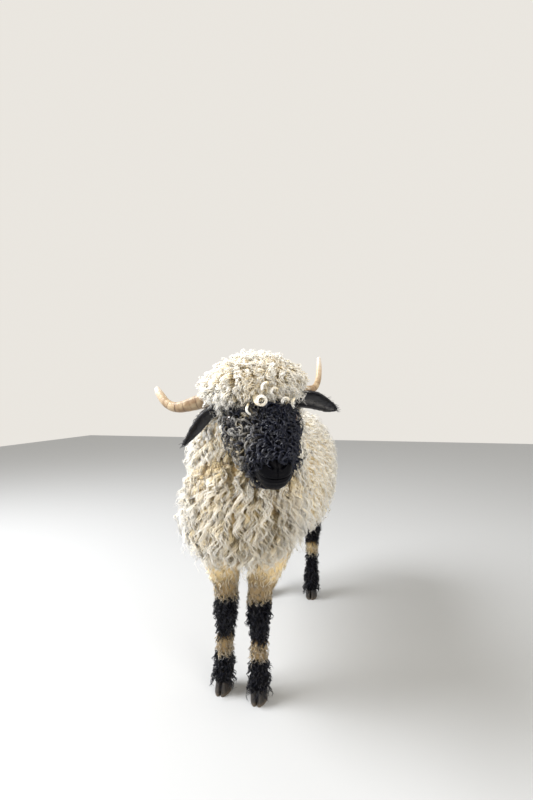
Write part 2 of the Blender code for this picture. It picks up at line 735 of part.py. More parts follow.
def ear(right):
    """A leaf rolled to a cup, bent down, with the cup open to the front."""
    sign, name = (-1, "right") if right else (1, "left")
    middle = LEVEL.inverted() @ HEAD @ EAR_ROOT[name]
    start, end = EAR_DROOP[name]
    level, hanging = EAR_BEND[name]
    bm = bmesh.new()
    rings = []
    before = 0
    for place, half, angle, thick in EAR:
        bend = np.clip((place - level) / (hanging - level), 0, 1)
        droop = math.radians(start + (end - start) * bend)
        out = math.cos(EAR_BACK) * math.cos(droop)
        along = Vector((sign * out, math.sin(EAR_BACK), -math.sin(droop))).normalized()
        middle = middle + along * EAR_LENGTH * (place - before)
        before = place
        roll = Matrix.Rotation(math.radians(EAR_ROLL[name]), 3, along)
        across = (roll @ along.cross(EAR_FRONT)).normalized()
        cup = across.cross(along).normalized()
        angle = math.radians(angle)
        radius = half / angle
        arc = []
        for size, turns in ((radius, EAR_TURNS), (radius - thick, EAR_TURNS[::-1])):
            for turn in turns:
                deep, wide = size * math.cos(angle * turn), size * math.sin(angle * turn)
                arc.append(middle + cup * (radius - deep) + across * wide)
        rings.append(arc)
    skin_rings(bm, rings)
    bmesh.ops.transform(bm, matrix=LEVEL, verts=bm.verts)
    return new_object("ear_" + name, bm)


def horn(right):
    """A blunt ringed horn, out to the side, then bent up."""
    name = "right" if right else "left"
    rows = smooth(HORN, 17)
    rows[:, 2] += HORN_RISE[name] * np.linspace(0, 1, len(rows)) ** 2
    rows[:, 0] *= HORN_SPREAD[name] * (-1 if right else 1)
    centres = [Vector(row[:3]) for row in rows]
    radii = []
    for k, row in enumerate(rows):
        ringed = HORN_RINGS * (-1) ** k if k < len(rows) - 2 else 0
        radii.append(row[3] * HORN_THICKNESS[name] * (1 + ringed))
    return sweep("horn_" + name, centres, radii, 9, LEVEL)


def eyeball(right):
    name = "eye_right" if right else "eye_left"
    return ellipsoid(name, Vector(), (EYE_RADIUS,) * 3, eye_place(right), 14, 8)


def hooves(name):
    """The two claws of a foot, flat below, standing on the floor."""
    rows, _ = LEGS[name]
    x, y = rows[-1, :2]
    found = []
    for sign, side in ((1, "outer"), (-1, "inner")):
        turn = sign if name.endswith("left") else -sign
        bm = bmesh.new()
        rings = []
        for high, share, back in CLAW_RINGS:
            outline = []
            for px, py in CLAW:
                out = CLAW_WALL + (px - CLAW_WALL) * share
                outline.append(Vector((x + turn * out, y + py * share + back, high * (SOLE - GAP))))
            rings.append(outline)
        skin_rings(bm, rings)
        found.append(new_object(f"hoof_{name}_{side}", bm))
    return found


for leftover in list(bpy.data.objects):
    bpy.data.objects.remove(leftover)

pieces = body(CORE)
clumps = coat(pieces)
whole = boolean(pieces[0], pieces[1:] + clumps, "UNION")
parts = part_whole(whole)

for right in (False, True):
    for made in (eyeball(right), horn(right), ear(right)):
        parts[made.name] = made
head = parts["head"]
boolean(head, [lid(False), lid(True), lip(False), lip(True)], "UNION")


def sockets(*kinds):
    """Cutters that leave a gap round the pieces of these kinds."""
    clear = {"eye_": GAP, "horn_": GAP, "ear_": EAR_GAP}
    return [swollen(parts[kind + side], clear[kind]) for kind in kinds for side in ("left", "right")]


carve(head, sockets("eye_", "horn_", "ear_") + [mouth_groove(), nostril(False), nostril(True)])
keep_largest(head)
neck = parts["neck"]
carve(neck, sockets("horn_", "ear_"))
keep_largest(neck)
for name in LEGS:
    claws = hooves(name)
    for claw in claws:
        parts[claw.name] = claw

COLOURS = {
    "torso": (0.78, 0.70, 0.55),
    "neck": (0.76, 0.68, 0.53),
    "head": (0.03, 0.03, 0.035),
    "tail": (0.78, 0.70, 0.55),
    "leg": (0.76, 0.68, 0.53),
    "ear": (0.03, 0.03, 0.035),
    "eye": (0.10, 0.05, 0.02),
    "horn": (0.72, 0.52, 0.33),
    "hoof": (0.12, 0.10, 0.09),
}
HARD = ("eye", "horn", "hoof")
SMOOTH, MATT = 0.4, 0.9
sheep = bpy.data.objects.new("sheep", None)
bpy.context.scene.collection.objects.link(sheep)
corners = np.array([vertex.co for part in parts.values() for vertex in part.data.vertices])
low, high = corners.min(axis=0), corners.max(axis=0)
sheep.location = (-(low[0] + high[0]) / 2, -(low[1] + high[1]) / 2, -low[2])
for name, part in parts.items():
    part.name = name
    kind = name.split("_")[0]
    part.data.materials.clear()
    part.data.materials.append(material(name, COLOURS[kind], SMOOTH if kind in HARD else MATT))
    part.parent = sheep
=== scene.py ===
# %% [markdown]
# # A valais blacknose sheep, life size
# The solids of the sheep are plain and faceted. This scene dresses them: one smooth skin, a coat of
# several thousand curled locks, and finer eyes, horns, ears and hooves. Everything is made by
# short functions from named sizes, in metres. The sheep faces -Y and its left side is +X.

# %% Tools and the solids
import json
import math

import bmesh
import bpy
import numpy as np
from mathutils import Matrix, Vector

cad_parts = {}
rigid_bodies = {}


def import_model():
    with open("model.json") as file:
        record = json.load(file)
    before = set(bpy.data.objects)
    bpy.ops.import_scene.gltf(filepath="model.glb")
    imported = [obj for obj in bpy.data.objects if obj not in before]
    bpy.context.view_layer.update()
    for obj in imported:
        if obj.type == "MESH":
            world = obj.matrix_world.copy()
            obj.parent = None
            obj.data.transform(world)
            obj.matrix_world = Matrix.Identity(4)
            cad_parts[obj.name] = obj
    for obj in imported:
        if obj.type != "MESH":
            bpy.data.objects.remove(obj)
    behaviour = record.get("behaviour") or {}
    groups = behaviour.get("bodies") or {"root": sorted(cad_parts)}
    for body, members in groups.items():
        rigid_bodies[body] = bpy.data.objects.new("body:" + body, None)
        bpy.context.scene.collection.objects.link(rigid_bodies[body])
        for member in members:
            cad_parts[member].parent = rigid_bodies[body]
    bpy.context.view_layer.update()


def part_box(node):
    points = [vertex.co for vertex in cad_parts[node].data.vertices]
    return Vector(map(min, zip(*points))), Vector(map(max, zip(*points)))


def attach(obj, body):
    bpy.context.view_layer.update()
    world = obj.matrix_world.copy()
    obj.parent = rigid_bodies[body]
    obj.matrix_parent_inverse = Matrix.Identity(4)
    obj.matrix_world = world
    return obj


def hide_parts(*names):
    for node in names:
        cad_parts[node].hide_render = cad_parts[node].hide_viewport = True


for leftover in list(bpy.data.objects):
    bpy.data.objects.remove(leftover)
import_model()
rng = np.random.default_rng(5)

# %% [markdown]
# ## The sizes of the animal
# The tables give the skin under the wool as rows of ovals: the middle of each oval, its half width
# and its height above and below the middle. A body drawn like this is quick to change, because one
# row moves one part of the outline. They are the same sizes that the solids were made from.

# %% Sizes of the body
TRUNK = (
    (0, 0.735, 0.600, 0.050, 0.060, 0.070),
    (0, 0.700, 0.600, 0.095, 0.100, 0.110),
    (0, 0.640, 0.590, 0.132, 0.140, 0.140),
    (0, 0.560, 0.575, 0.150, 0.165, 0.150),
    (0, 0.450, 0.560, 0.162, 0.178, 0.160),
    (0, 0.320, 0.555, 0.168, 0.180, 0.165),
    (0, 0.190, 0.555, 0.155, 0.180, 0.154),
    (0, 0.070, 0.555, 0.133, 0.184, 0.136),
    (0, -0.010, 0.550, 0.120, 0.165, 0.119),
    (0, -0.070, 0.540, 0.105, 0.120, 0.101),
    (0, -0.110, 0.535, 0.079, 0.085, 0.081),
    (0, -0.130, 0.530, 0.042, 0.045, 0.045),
)
NECK = (
    (0.000, 0.090, 0.550, 0.125, 0.125, 0.140),
    (-0.001, 0.055, 0.615, 0.120, 0.120, 0.130),
    (0.001, 0.020, 0.685, 0.122, 0.108, 0.095),
    (0.010, -0.008, 0.745, 0.112, 0.094, 0.068),
    (0.024, -0.030, 0.795, 0.094, 0.078, 0.050),
)
SKULL = (
    (0, 0.045, -0.055, 0.034, 0.030, 0.036),
    (0, 0.012, -0.050, 0.058, 0.048, 0.060),
    (0, -0.035, -0.050, 0.074, 0.052, 0.080),
    (0, -0.080, -0.052, 0.080, 0.050, 0.086),
    (0, -0.120, -0.058, 0.072, 0.048, 0.080),
    (0, -0.160, -0.066, 0.060, 0.044, 0.070),
    (0, -0.200, -0.075, 0.048, 0.040, 0.060),
    (0, -0.232, -0.083, 0.041, 0.036, 0.053),
    (0, -0.256, -0.088, 0.034, 0.030, 0.042),
    (0, -0.268, -0.090, 0.021, 0.019, 0.026),
)
FORELEG = (
    (0.080, 0.020, 0.560, 0.045, 0.075, 0.085),
    (0.074, 0.010, 0.450, 0.048, 0.060, 0.062),
    (0.057, 0.004, 0.360, 0.036, 0.040, 0.044),
    (0.043, 0.000, 0.290, 0.024, 0.026, 0.030),
    (0.040, -0.002, 0.235, 0.024, 0.025, 0.025),
    (0.040, 0.000, 0.180, 0.017, 0.017, 0.018),
    (0.040, 0.000, 0.120, 0.016, 0.016, 0.018),
    (0.040, 0.004, 0.078, 0.021, 0.022, 0.024),
    (0.040, -0.004, 0.034, 0.020, 0.022, 0.026),
)
HINDLEG = (
    (0.085, 0.590, 0.560, 0.060, 0.110, 0.095),
    (0.092, 0.580, 0.460, 0.060, 0.090, 0.090),
    (0.096, 0.610, 0.385, 0.044, 0.056, 0.060),
    (0.098, 0.660, 0.310, 0.030, 0.032, 0.036),
    (0.099, 0.690, 0.262, 0.022, 0.030, 0.030),
    (0.099, 0.688, 0.200, 0.017, 0.020, 0.020),
    (0.099, 0.678, 0.130, 0.017, 0.018, 0.019),
    (0.099, 0.672, 0.082, 0.021, 0.022, 0.025),
    (0.099, 0.662, 0.034, 0.020, 0.022, 0.026),
)
TAIL = (
    (0.000, 0.690, 0.680, 0.028, 0.024, 0.024),
    (0.000, 0.758, 0.655, 0.026, 0.020, 0.020),
    (0.000, 0.792, 0.580, 0.024, 0.018, 0.018),
    (0.000, 0.798, 0.500, 0.018, 0.014, 0.014),
    (0.000, 0.794, 0.450, 0.008, 0.006, 0.006),
)
RIGHT_FORE_STEP = (0.030, 0.018)  # the right feet stand this much further out and back
RIGHT_HIND_STEP = (0.000, -0.030)
LEG_TOP = 0.560  # where the right legs start to leave the mirror image of the left ones
SOLE = 0.034  # height of the hooves

FLEECE = 0.050  # from the skin to the tips of the body fleece
LEG_HAIR = 0.010
FACE_HAIR = 0.018
MUZZLE_HAIR = 0.001
TAIL_HAIR = 0.022
MUZZLE_START = -0.225  # along the head from the poll, where the curls end
CURLS_START = -0.150  # and from where they are full
WOOL_END = 0.24  # on the legs, height where the wool starts to deepen
FLEECE_START = 0.46  # and where it is as deep as the fleece

# %% Sizes of the head
POLL = Vector((0.053, -0.082, 0.838))
HEAD_YAW = math.radians(24.5)
HEAD_ROLL = math.radians(-6)
HEAD_PITCH = math.radians(20)
FACE_ROLL = math.radians(4.5)  # of the face against the crown
CROWN_MIDDLE = np.array((-0.004, -0.010, 0.024))
CROWN = np.array((0.139, 0.112, 0.096))
CROWN_SKULL = np.array((0.068, 0.045, 0.032))
CROWN_TIPS = np.array((0.137, 0.104, 0.084))  # how far the fine locks reach
CROWN_SHIFT = np.array((-0.004, 0.0, 0.0))  # and how far their tips are moved
CROWN_TAPER = 0.022  # how much narrower the crown is at its top
EYE = Vector((0.0730, -0.092, -0.034))
EYE_RADIUS = 0.0145
EYE_AXIS = Vector((0.93, -0.33, 0.14)).normalized()
NOSTRIL = np.array((0.0165, -0.260, -0.068))
MOUTH_HEIGHT = -0.078
MOUTH_CORNER = -0.195
MOUTH_TILT = math.radians(13)

EAR_ROOT = {"left": (0.060, -0.010, -0.026), "right": (-0.065, -0.027, -0.014)}
EAR_LENGTH = 0.172
EAR_DROOP = {"left": (-9, 29), "right": (0, 54)}  # degrees under the level, at the root and the tip
EAR_BEND = {"left": (0.26, 0.66), "right": (0.16, 0.58)}  # where along the ear it turns down
EAR_FRONT = Vector((0, -1, -0.25))  # where it opens
EAR_ROLL = {"left": 0, "right": -40}  # degrees that it is turned about its own length
EAR_BACK = math.radians(7)
EAR = (  # along the ear: place, half width laid flat, half angle of the cup, thickness
    (0.00, 0.025, 145, 0.0055),
    (0.14, 0.029, 115, 0.0050),
    (0.32, 0.032, 85, 0.0045),
    (0.50, 0.031, 70, 0.0042),
    (0.68, 0.026, 62, 0.0038),
    (0.84, 0.018, 56, 0.0032),
    (0.95, 0.010, 50, 0.0026),
    (1.00, 0.004, 40, 0.0020),
)
HORN = (  # with the head held level: x, y, z and radius
    (0.036, 0.000, -0.002, 0.0215),
    (0.090, 0.012, 0.004, 0.0205),
    (0.150, 0.032, -0.008, 0.0172),
    (0.205, 0.052, -0.016, 0.0125),
    (0.234, 0.070, -0.004, 0.0108),
    (0.251, 0.088, 0.022, 0.0098),
    (0.257, 0.096, 0.036, 0.0074),
)
HORN_SPREAD = {"left": 0.81, "right": 0.96}
HORN_RISE = {"left": 0.042, "right": 0.0}
HORN_THICKNESS = {"left": 0.76, "right": 1.06}
CLAW = (  # a claw seen from above, on the outer side of the left foot
    *((0.001, 0.024), (0.001, -0.024), (0.006, -0.031), (0.013, -0.026)),
    *((0.022, -0.008), (0.024, 0.010), (0.019, 0.022)),
)

UPWARD = np.array((0.0, 0.0, 1.0))
FORWARD = np.array((0.0, -1.0, 0.0))
ACROSS = np.array((1.0, 0.0, 0.0))
NAPE_SIDE = np.array((0, 0.89, 0.45)) / math.hypot(0.89, 0.45)
LEVEL = (
    Matrix.Translation(POLL)
    @ Matrix.Rotation(HEAD_YAW, 4, "Z")
    @ Matrix.Rotation(HEAD_ROLL, 4, "Y")
)
HEAD = LEVEL @ Matrix.Rotation(FACE_ROLL, 4, "Y") @ Matrix.Rotation(HEAD_PITCH, 4, "X")
HERE = Matrix.Identity(4)

# %% [markdown]
# ## Where the solids stand
# The tables are written with the origin between the forelegs, and the solids with the origin under
# the middle of the sheep. The left eye is in both, so the step from one to the other is measured
# from it and not written down a second time.

# %% The step from the tables to the solids
eye_low, eye_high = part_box("eye_left")
STEP = np.array((eye_low + eye_high) / 2 - HEAD @ EYE)
print("step", STEP.round(4))

# %% [markdown]
# ## Small tools
# Arrays of points are much faster than loops over single vertices once a coat has a million of
# them. These helpers work on whole arrays: blending between two values, making lengths one, moving
# between the head's own axes and the room, and drawing a smooth curve through a table.


# %% Helpers for arrays
def fade(low, high, x):
    """0 below low, 1 above high and soft between them."""
    t = np.clip((x - low) / (high - low), 0, 1)
    return t * t * (3 - 2 * t)


def unit(vectors):
    return vectors / np.maximum(np.linalg.norm(vectors, axis=-1, keepdims=True), 1e-9)


def along_surface(vectors, normals):
    """The part of each vector that lies along the surface, with length one."""
    return unit(vectors - normals * np.sum(vectors * normals, axis=-1, keepdims=True))


def moved(matrix, points):
    """Points, or with the last column left out directions, through a 4 by 4 matrix."""
    matrix = np.array(matrix)
    return points @ matrix[:3, :3].T + matrix[:3, 3]


def turned(matrix, vectors):
    return vectors @ np.array(matrix)[:3, :3].T


def from_crown(points):
    """Points in the axes of the level head, counted from the middle of the crown."""
    return moved(LEVEL.inverted(), points) - CROWN_MIDDLE


def bump(distance, width):
    """1 at no distance, falling off like a bell."""
    return np.exp(-((distance / width) ** 2))


def smooth(stations, count):
    """`count` rows of a Catmull-Rom curve through the stations."""
    rows = np.array(stations, float)
    padded = np.vstack([2 * rows[0] - rows[1], rows, 2 * rows[-1] - rows[-2]])
    found = []
    for place in np.linspace(0, len(rows) - 1, count):
        i = min(int(place), len(rows) - 2)
        a, b, c, d = padded[i : i + 4]
        t = place - i
        bend = (2 * a - 5 * b + 4 * c - d) * t**2 + (3 * b - a - 3 * c + d) * t**3
        found.append((2 * b + (c - a) * t + bend) / 2)
    return np.array(found)


def wobble(points, size):
    """Smooth noise between -1 and 1 that changes over about the given size."""
    turns = points / size
    x, y, z = turns[:, 0], turns[:, 1], turns[:, 2]
    first = np.sin(2.1 * x + 1.3 * np.sin(1.7 * y + 0.4) + 0.3)
    second = np.sin(2.3 * y + 1.1 * np.sin(1.9 * z + 1.2) + 1.9)
    return (first + second + np.sin(1.9 * z + 1.2 * np.sin(2.2 * x + 2.2))) / 3


def stored(items, key, columns=None):
    """What Blender keeps for each item as an array: whole numbers, or rows of a few decimal ones."""
    found = np.empty(len(items) * (columns or 1), np.float32 if columns else np.int32)
    items.foreach_get(key, found)
    return found.reshape(-1, columns).astype(float) if columns else found


def mesh_object(name, points, faces, place=HERE):
    """A shaded object of points in the tables' axes and a list of face arrays of 3 or 4 corners."""
    mesh = bpy.data.meshes.new(name)
    mesh.vertices.add(len(points))
    mesh.vertices.foreach_set("co", (moved(place, points) + STEP).astype(np.float32).ravel())
    corners = np.concatenate([f.ravel() for f in faces])
    sizes = np.concatenate([np.full(len(f), f.shape[1]) for f in faces])
    mesh.loops.add(len(corners))
    mesh.loops.foreach_set("vertex_index", corners.astype(np.int32))
    mesh.polygons.add(len(sizes))
    mesh.polygons.foreach_set("loop_start", (np.cumsum(sizes) - sizes).astype(np.int32))
    mesh.polygons.foreach_set("use_smooth", np.ones(len(sizes), bool))
    mesh.update(calc_edges=True)
    made = bpy.data.objects.new(name, mesh)
    bpy.context.scene.collection.objects.link(made)
    return made


def add_values(thing, **values):
    """Stores a number for each vertex, for the materials to read by name."""
    for name, numbers in values.items():
        layer = thing.data.attributes.new(name, "FLOAT", "POINT")
        layer.data.foreach_set("value", np.asarray(numbers, np.float32).ravel())


def closed_rings(rings, poles):
    """Points and faces of a closed surface through rings of points, with a pole at each end."""
    count, sides = rings.shape[:2]
    points = np.vstack([rings.reshape(-1, 3), poles])
    k = np.arange(sides)
    n = (k + 1) % sides
    base = (np.arange(count - 1) * sides)[:, None]
    quads = np.stack([base + k, base + n, base + n + sides, base + k + sides], -1).reshape(-1, 4)
    top = (count - 1) * sides
    caps = [np.stack([n, k, np.full(sides, len(points) - 2)], -1)]
    caps.append(np.stack([top + k, top + n, np.full(sides, len(points) - 1)], -1))
    return points, [quads, np.vstack(caps)]


def facing_out(points, faces):
    """The same faces, turned over if the closed surface was inside out."""
    a, b, c = points[faces[0][:, 0]], points[faces[0][:, 1]], points[faces[0][:, 2]]
    middle = points.mean(axis=0)
    inside_out = np.sum(np.cross(b - a, c - a) * (a - middle)) < 0
    return [f[:, ::-1] for f in faces] if inside_out else faces


def ring_object(name, rings, place=HERE, poles=None):
    """A closed object through rings, and its points before they are placed."""
    poles = [rings[0].mean(axis=0), rings[-1].mean(axis=0)] if poles is None else poles
    points, faces = closed_rings(rings, poles)
    return mesh_object(name, points, facing_out(points, faces), place), points


def tube(rows, side, up, sides, power=2.0, blunt=(True, True)):
    """Points and faces of a closed tube through rows of ovals."""
    angles = 2 * np.pi * (np.arange(sides) + 0.5) / sides
    c = np.sign(np.cos(angles)) * np.abs(np.cos(angles)) ** (2 / power)
    s = np.sign(np.sin(angles)) * np.abs(np.sin(angles)) ** (2 / power)
    tall = np.where(s > 0, rows[:, 4:5], rows[:, 5:6])
    rings = rows[:, None, :3] + side * (rows[:, 3:4] * c)[..., None] + up * (tall * s)[..., None]
    poles = []
    for end, inner, soft in ((rows[0], rows[1], blunt[0]), (rows[-1], rows[-2], blunt[1])):
        poles.append(end[:3] + unit(end[:3] - inner[:3]) * 0.35 * soft * end[3:6].min())
    return closed_rings(rings, poles)


print("tools ready")

# %% [markdown]
# ## The parts of the body
# Each part is a table, the two directions its ovals lie in, and the length of its coat along it.
# From these one function makes the surface at any depth in the coat, from 0 at the skin to 1 at the
# tips. The skin is drawn part way up, where the wool is too dense to look into.


# %% The parts
def coat_at(z):
    """The length of the coat on a leg or the trunk at a height."""
    return LEG_HAIR + (FLEECE - LEG_HAIR) * fade(WOOL_END, FLEECE_START, z)


def face_coat(y):
    """The length of the coat along the head, short on the muzzle."""
    return MUZZLE_HAIR + (FACE_HAIR - MUZZLE_HAIR) * fade(MUZZLE_START, CURLS_START, y)


def leg_rows(table, right, stride):
    """The rows of a leg; those on the right are mirrored, with the foot moved by the stride."""
    rows = smooth(table, 26)
    if right:
        down = (LEG_TOP - rows[:, 2]) / LEG_TOP
        rows[:, 0] = -rows[:, 0] - stride[0] * down
        rows[:, 1] += stride[1] * down
    return rows


def part(rows, coat, up, place=HERE, power=2.0):
    coat = np.broadcast_to(coat, len(rows))
    return {"rows": rows, "coat": coat, "up": up, "place": place, "power": power}


PARTS = {
    "torso": part(smooth(TRUNK, 34), FLEECE, UPWARD, power=2.3),
    "neck": part(smooth(NECK, 12), FLEECE, NAPE_SIDE),
    "head": part(smooth(SKULL, 34), face_coat(smooth(SKULL, 34)[:, 1]), UPWARD, HEAD, 2.2),
    "tail": part(smooth(TAIL, 14), TAIL_HAIR, FORWARD),
}
for side in ("left", "right"):
    for name, table, stride in (("fore", FORELEG, RIGHT_FORE_STEP), ("hind", HINDLEG, RIGHT_HIND_STEP)):
        rows = leg_rows(table, side == "right", stride)
        PARTS[f"{name}_{side}"] = part(rows, coat_at(rows[:, 2]), FORWARD)
NAMES = [*PARTS, "crown"]
SKIN_DEPTH = dict.fromkeys(NAMES, 0.35)  # the share of the coat that the skin takes in
SKIN_DEPTH.update(torso=0.46, neck=0.46, head=0.22, tail=0.4, crown=0.46)


def grown_rows(name, share):
    """The rows of a part with its coat grown to a share of its length."""
    rows = PARTS[name]["rows"].copy()
    rows[:, 3:6] += (PARTS[name]["coat"] * share)[:, None]
    return rows


def crown_radii(share):
    return CROWN_SKULL + (CROWN - CROWN_SKULL) * share


END_ROOM = 0.03  # how far past its end a part still counts as near


def nearness(name, points):
    """How far out of a part points are, 1 on its surface, with their place along and around it.
    Beyond the end of a tube they count as further out, or a tube would claim what lies ahead of it."""
    share = SKIN_DEPTH[name]
    if name == "crown":
        out = from_crown(points) / crown_radii(share)
        around = np.arctan2(out[:, 1], out[:, 0])
        return np.linalg.norm(out, axis=1), 0.5 + 0.5 * unit(out)[:, 2], around
    local = moved(PARTS[name]["place"].inverted(), points)
    rows = grown_rows(name, share)
    away = np.linalg.norm(local[:, None] - rows[None, :, :3], axis=2)
    k = away.argmin(axis=1)
    offset = local - rows[k, :3]
    up = PARTS[name]["up"]
    x = offset @ ACROSS / rows[k, 3]
    y = offset @ up
    y = y / np.where(y > 0, rows[k, 4], rows[k, 5])
    beyond = np.maximum(np.abs(offset @ np.cross(ACROSS, up)) - END_ROOM, 0) / rows[k, 3]
    return np.sqrt(x**2 + y**2 + beyond**2), k / len(rows), np.arctan2(y, x)


print("parts", ", ".join(NAMES))

# %% [markdown]
# ## The skin
# A real skin runs over neck, shoulder and leg without a seam. Here the tubes are laid into each
# other, and a voxel remesh turns them into one closed surface, which is then smoothed a little so
# that the joins run softly together. Sculpting by hand would do the same, but could not be run again.

# %% One closed skin
VOXEL = 0.006
SKIN_SMOOTHING = 6

all_points, all_faces, count = [], [], 0
for name, info in PARTS.items():
    blunt = (True, not name.endswith(("left", "right")))  # the legs are flat at the hooves
    rows = grown_rows(name, SKIN_DEPTH[name])
    points, faces = tube(rows, ACROSS, info["up"], 48, info["power"], blunt)
    all_points.append(moved(info["place"], points))
    all_faces += [f + count for f in faces]
    count += len(points)
heights = np.cos(np.linspace(0.06, np.pi - 0.06, 24))
crown_rows = np.zeros((24, 6))
crown_rows[:, 2] = heights
crown_rows[:, 3:] = np.sqrt(1 - heights**2)[:, None]
points, faces = tube(crown_rows, ACROSS, FORWARD, 40)
points = moved(LEVEL, points * crown_radii(SKIN_DEPTH["crown"]) + CROWN_MIDDLE)
all_points.append(points)
all_faces += [f + count for f in faces]

skin = mesh_object("skin", np.vstack(all_points), all_faces)
shape = skin.modifiers.new("one_surface", "REMESH")
shape.mode = "VOXEL"
shape.voxel_size = VOXEL
soften = skin.modifiers.new("soften", "SMOOTH")
soften.factor = 0.5
soften.iterations = SKIN_SMOOTHING
finished = bpy.data.meshes.new_from_object(skin.evaluated_get(bpy.context.evaluated_depsgraph_get()))
skin.modifiers.clear()
skin.data = finished
print("skin", len(skin.data.vertices), "vertices")

# %% [markdown]
# ## Muzzle, mouth, nostrils and lids
# The muzzle is bare, so it needs small forms that a 6 mm voxel can't hold. The mesh is divided
# finer there, and each form is pushed in or out along the skin by a short formula: a slit for the
# mouth with a soft roll on both sides, a pit for each nostril, and a rim for the lids.

# %% Finer skin on the head
bm = bmesh.new()
bm.from_mesh(skin.data)
into_head = HEAD.inverted() @ Matrix.Translation(-Vector(STEP))
for start in (-0.050, -0.060, -0.215):  # along the head; in front of each the mesh is halved again
    edges = []
    for edge in bm.edges:
        local = into_head @ ((edge.verts[0].co + edge.verts[1].co) / 2)
        if local.y < start and abs(local.x) < 0.12 and -0.2 < local.z < 0.02:
            edges.append(edge)
    bmesh.ops.subdivide_edges(bm, edges=edges, cuts=1, use_grid_fill=True, smooth=0.6)
bmesh.ops.triangulate(bm, faces=[f for f in bm.faces if len(f.verts) > 4])
bm.to_mesh(skin.data)
bm.free()


def eye_matrix(sign):
    """The axes of an eye: X along the slit, Y up and Z looking out."""
    middle = Vector((EYE.x * sign, EYE.y, EYE.z))
    axis = Vector((EYE_AXIS.x * sign, EYE_AXIS.y, EYE_AXIS.z))
    slit = Vector((0, 0, 1)).cross(axis).normalized()
    turn = Matrix((slit, axis.cross(slit), axis)).transposed().to_4x4()
    return HEAD @ Matrix.Translation(middle) @ turn


# %% The forms of the face
LID_LENGTH = 0.0150
LID_HEIGHT = 0.0108
LIP = (0.0014, 0.0070, 0.0040)  # how far the lips stand out, how far from the mouth, and half width
MOUTH_CUT = (0.0040, 0.0015)  # depth and half width
CLEFT_CUT = (0.0016, 0.0016)  # of the upper lip
PIT = (0.0060, 0.0100, 0.0024)  # of a nostril: depth, half length and half width
SOCKET = 0.0120  # depth of the skin behind an eye
LID = 0.0036  # how far the lids stand out
places = stored(skin.data.vertices, "co", 3) - STEP
outward = stored(skin.data.vertex_normals, "vector", 3)
head_places = moved(HEAD.inverted(), places)
x, y, z = head_places.T
on_face = (y < -0.03) & (np.abs(x) < 0.12) & (z < 0.05) & (z > -0.25)
push = np.zeros(len(places))
line = MOUTH_HEIGHT + math.tan(MOUTH_TILT) * (y - MOUTH_CORNER)
in_mouth = fade(MOUTH_CORNER + 0.004, MOUTH_CORNER - 0.012, y)
in_mouth *= 1 - 0.75 * fade(0.012, 0.035, np.abs(x))  # it is shallower at the sides
push -= MOUTH_CUT[0] * bump(z - line, MOUTH_CUT[1]) * in_mouth
push += LIP[0] * bump(np.abs(z - line) - LIP[1], LIP[2]) * in_mouth
push -= CLEFT_CUT[0] * bump(x, CLEFT_CUT[1]) * fade(-0.240, -0.258, y) * (z > line)
for sign in (-1, 1):
    nostril = NOSTRIL * (sign, 1, 1)
    away = head_places - nostril
    long_way = np.array((0.78 * sign, 0.25, 0.57))
    wide_way = np.array((-0.58 * sign, 0.10, 0.80))
    reach = np.hypot(away @ long_way / PIT[1], away @ wide_way / PIT[2])
    push -= PIT[0] * np.exp(-(reach**2.4)) * (np.sign(x) == sign)
    push += 0.0014 * bump(reach - 1.7, 0.5) * (np.sign(x) == sign)
push *= on_face
shift = outward * push[:, None]
for sign in (-1, 1):
    local = moved(eye_matrix(sign).inverted(), places)
    reach = np.hypot(local[:, 0] / LID_LENGTH, local[:, 1] / LID_HEIGHT)
    near = (np.linalg.norm(local, axis=1) < 0.045) & on_face
    axis = np.array(eye_matrix(sign))[:3, 2]
    sink = -SOCKET * (1 - fade(0.70, 1.02, reach))
    rim = LID * bump(reach - 1.18, 0.20) * (1 + 0.5 * np.sign(local[:, 1]))
    shift += axis * ((sink + rim) * near)[:, None]
places += shift
skin.data.vertices.foreach_set("co", (places + STEP).astype(np.float32).ravel())
skin.data.update()
print("skin after the face", len(skin.data.vertices), "vertices")

# %% [markdown]
# ## Which part a point belongs to, and where the coat is black
# The breed is cream with a black face, ears, knees, hocks and feet. The same function marks the
# skin and the locks, so that no pale skin shows under black hair. The edges wander a little, as on
# the animal.

# %% The markings
FACE_EDGE = (-0.012, -0.040)  # along the head, from cream to black
CHEEK = 0.048  # the edge lies this much further forward on the cheeks, under the eyes
BLACK_LEGS = {  # heights: the patch on the knee or hock from and to, and the black foot up to
    "fore": (0.165, 0.282, 0.118),
    "hind": (0.225, 0.330, 0.185),
}
BLACK_EDGE = 0.006  # half width of the edges on the legs, and how far all edges wander


def part_of(points):
    """For each point the number of its part, and its place along and around that part."""
    best = np.full(len(points), np.inf)
    found = np.zeros(len(points), int)
    along, around = np.zeros(len(points)), np.zeros(len(points))
    for number, name in enumerate(NAMES):
        out, a, b = nearness(name, points)
        closer = out < best
        best[closer], found[closer] = out[closer], number
        along[closer], around[closer] = a[closer], b[closer]
    return found, along, around


def blackness(points, parts):
    """1 where the coat is black, 0 where it is cream."""
    wander = BLACK_EDGE * wobble(points, 0.012)
    in_head = moved(HEAD.inverted(), points)
    cheek = CHEEK * fade(-0.048, -0.064, in_head[:, 2])
    face = fade(FACE_EDGE[0], FACE_EDGE[1], in_head[:, 1] + wander + cheek)
    height = points[:, 2] + wander
    found = np.zeros(len(points))
    for number, name in enumerate(NAMES):
        here = parts == number
        if name == "head":
            found[here] = face[here]
        if name[:4] in BLACK_LEGS:
            low, high, foot = BLACK_LEGS[name[:4]]
            patch = fade(low - BLACK_EDGE, low + BLACK_EDGE, height)
            patch *= fade(high + BLACK_EDGE, high - BLACK_EDGE, height)
            black = np.maximum(patch, fade(foot + BLACK_EDGE, foot - BLACK_EDGE, height))
            found[here] = black[here]
    return found


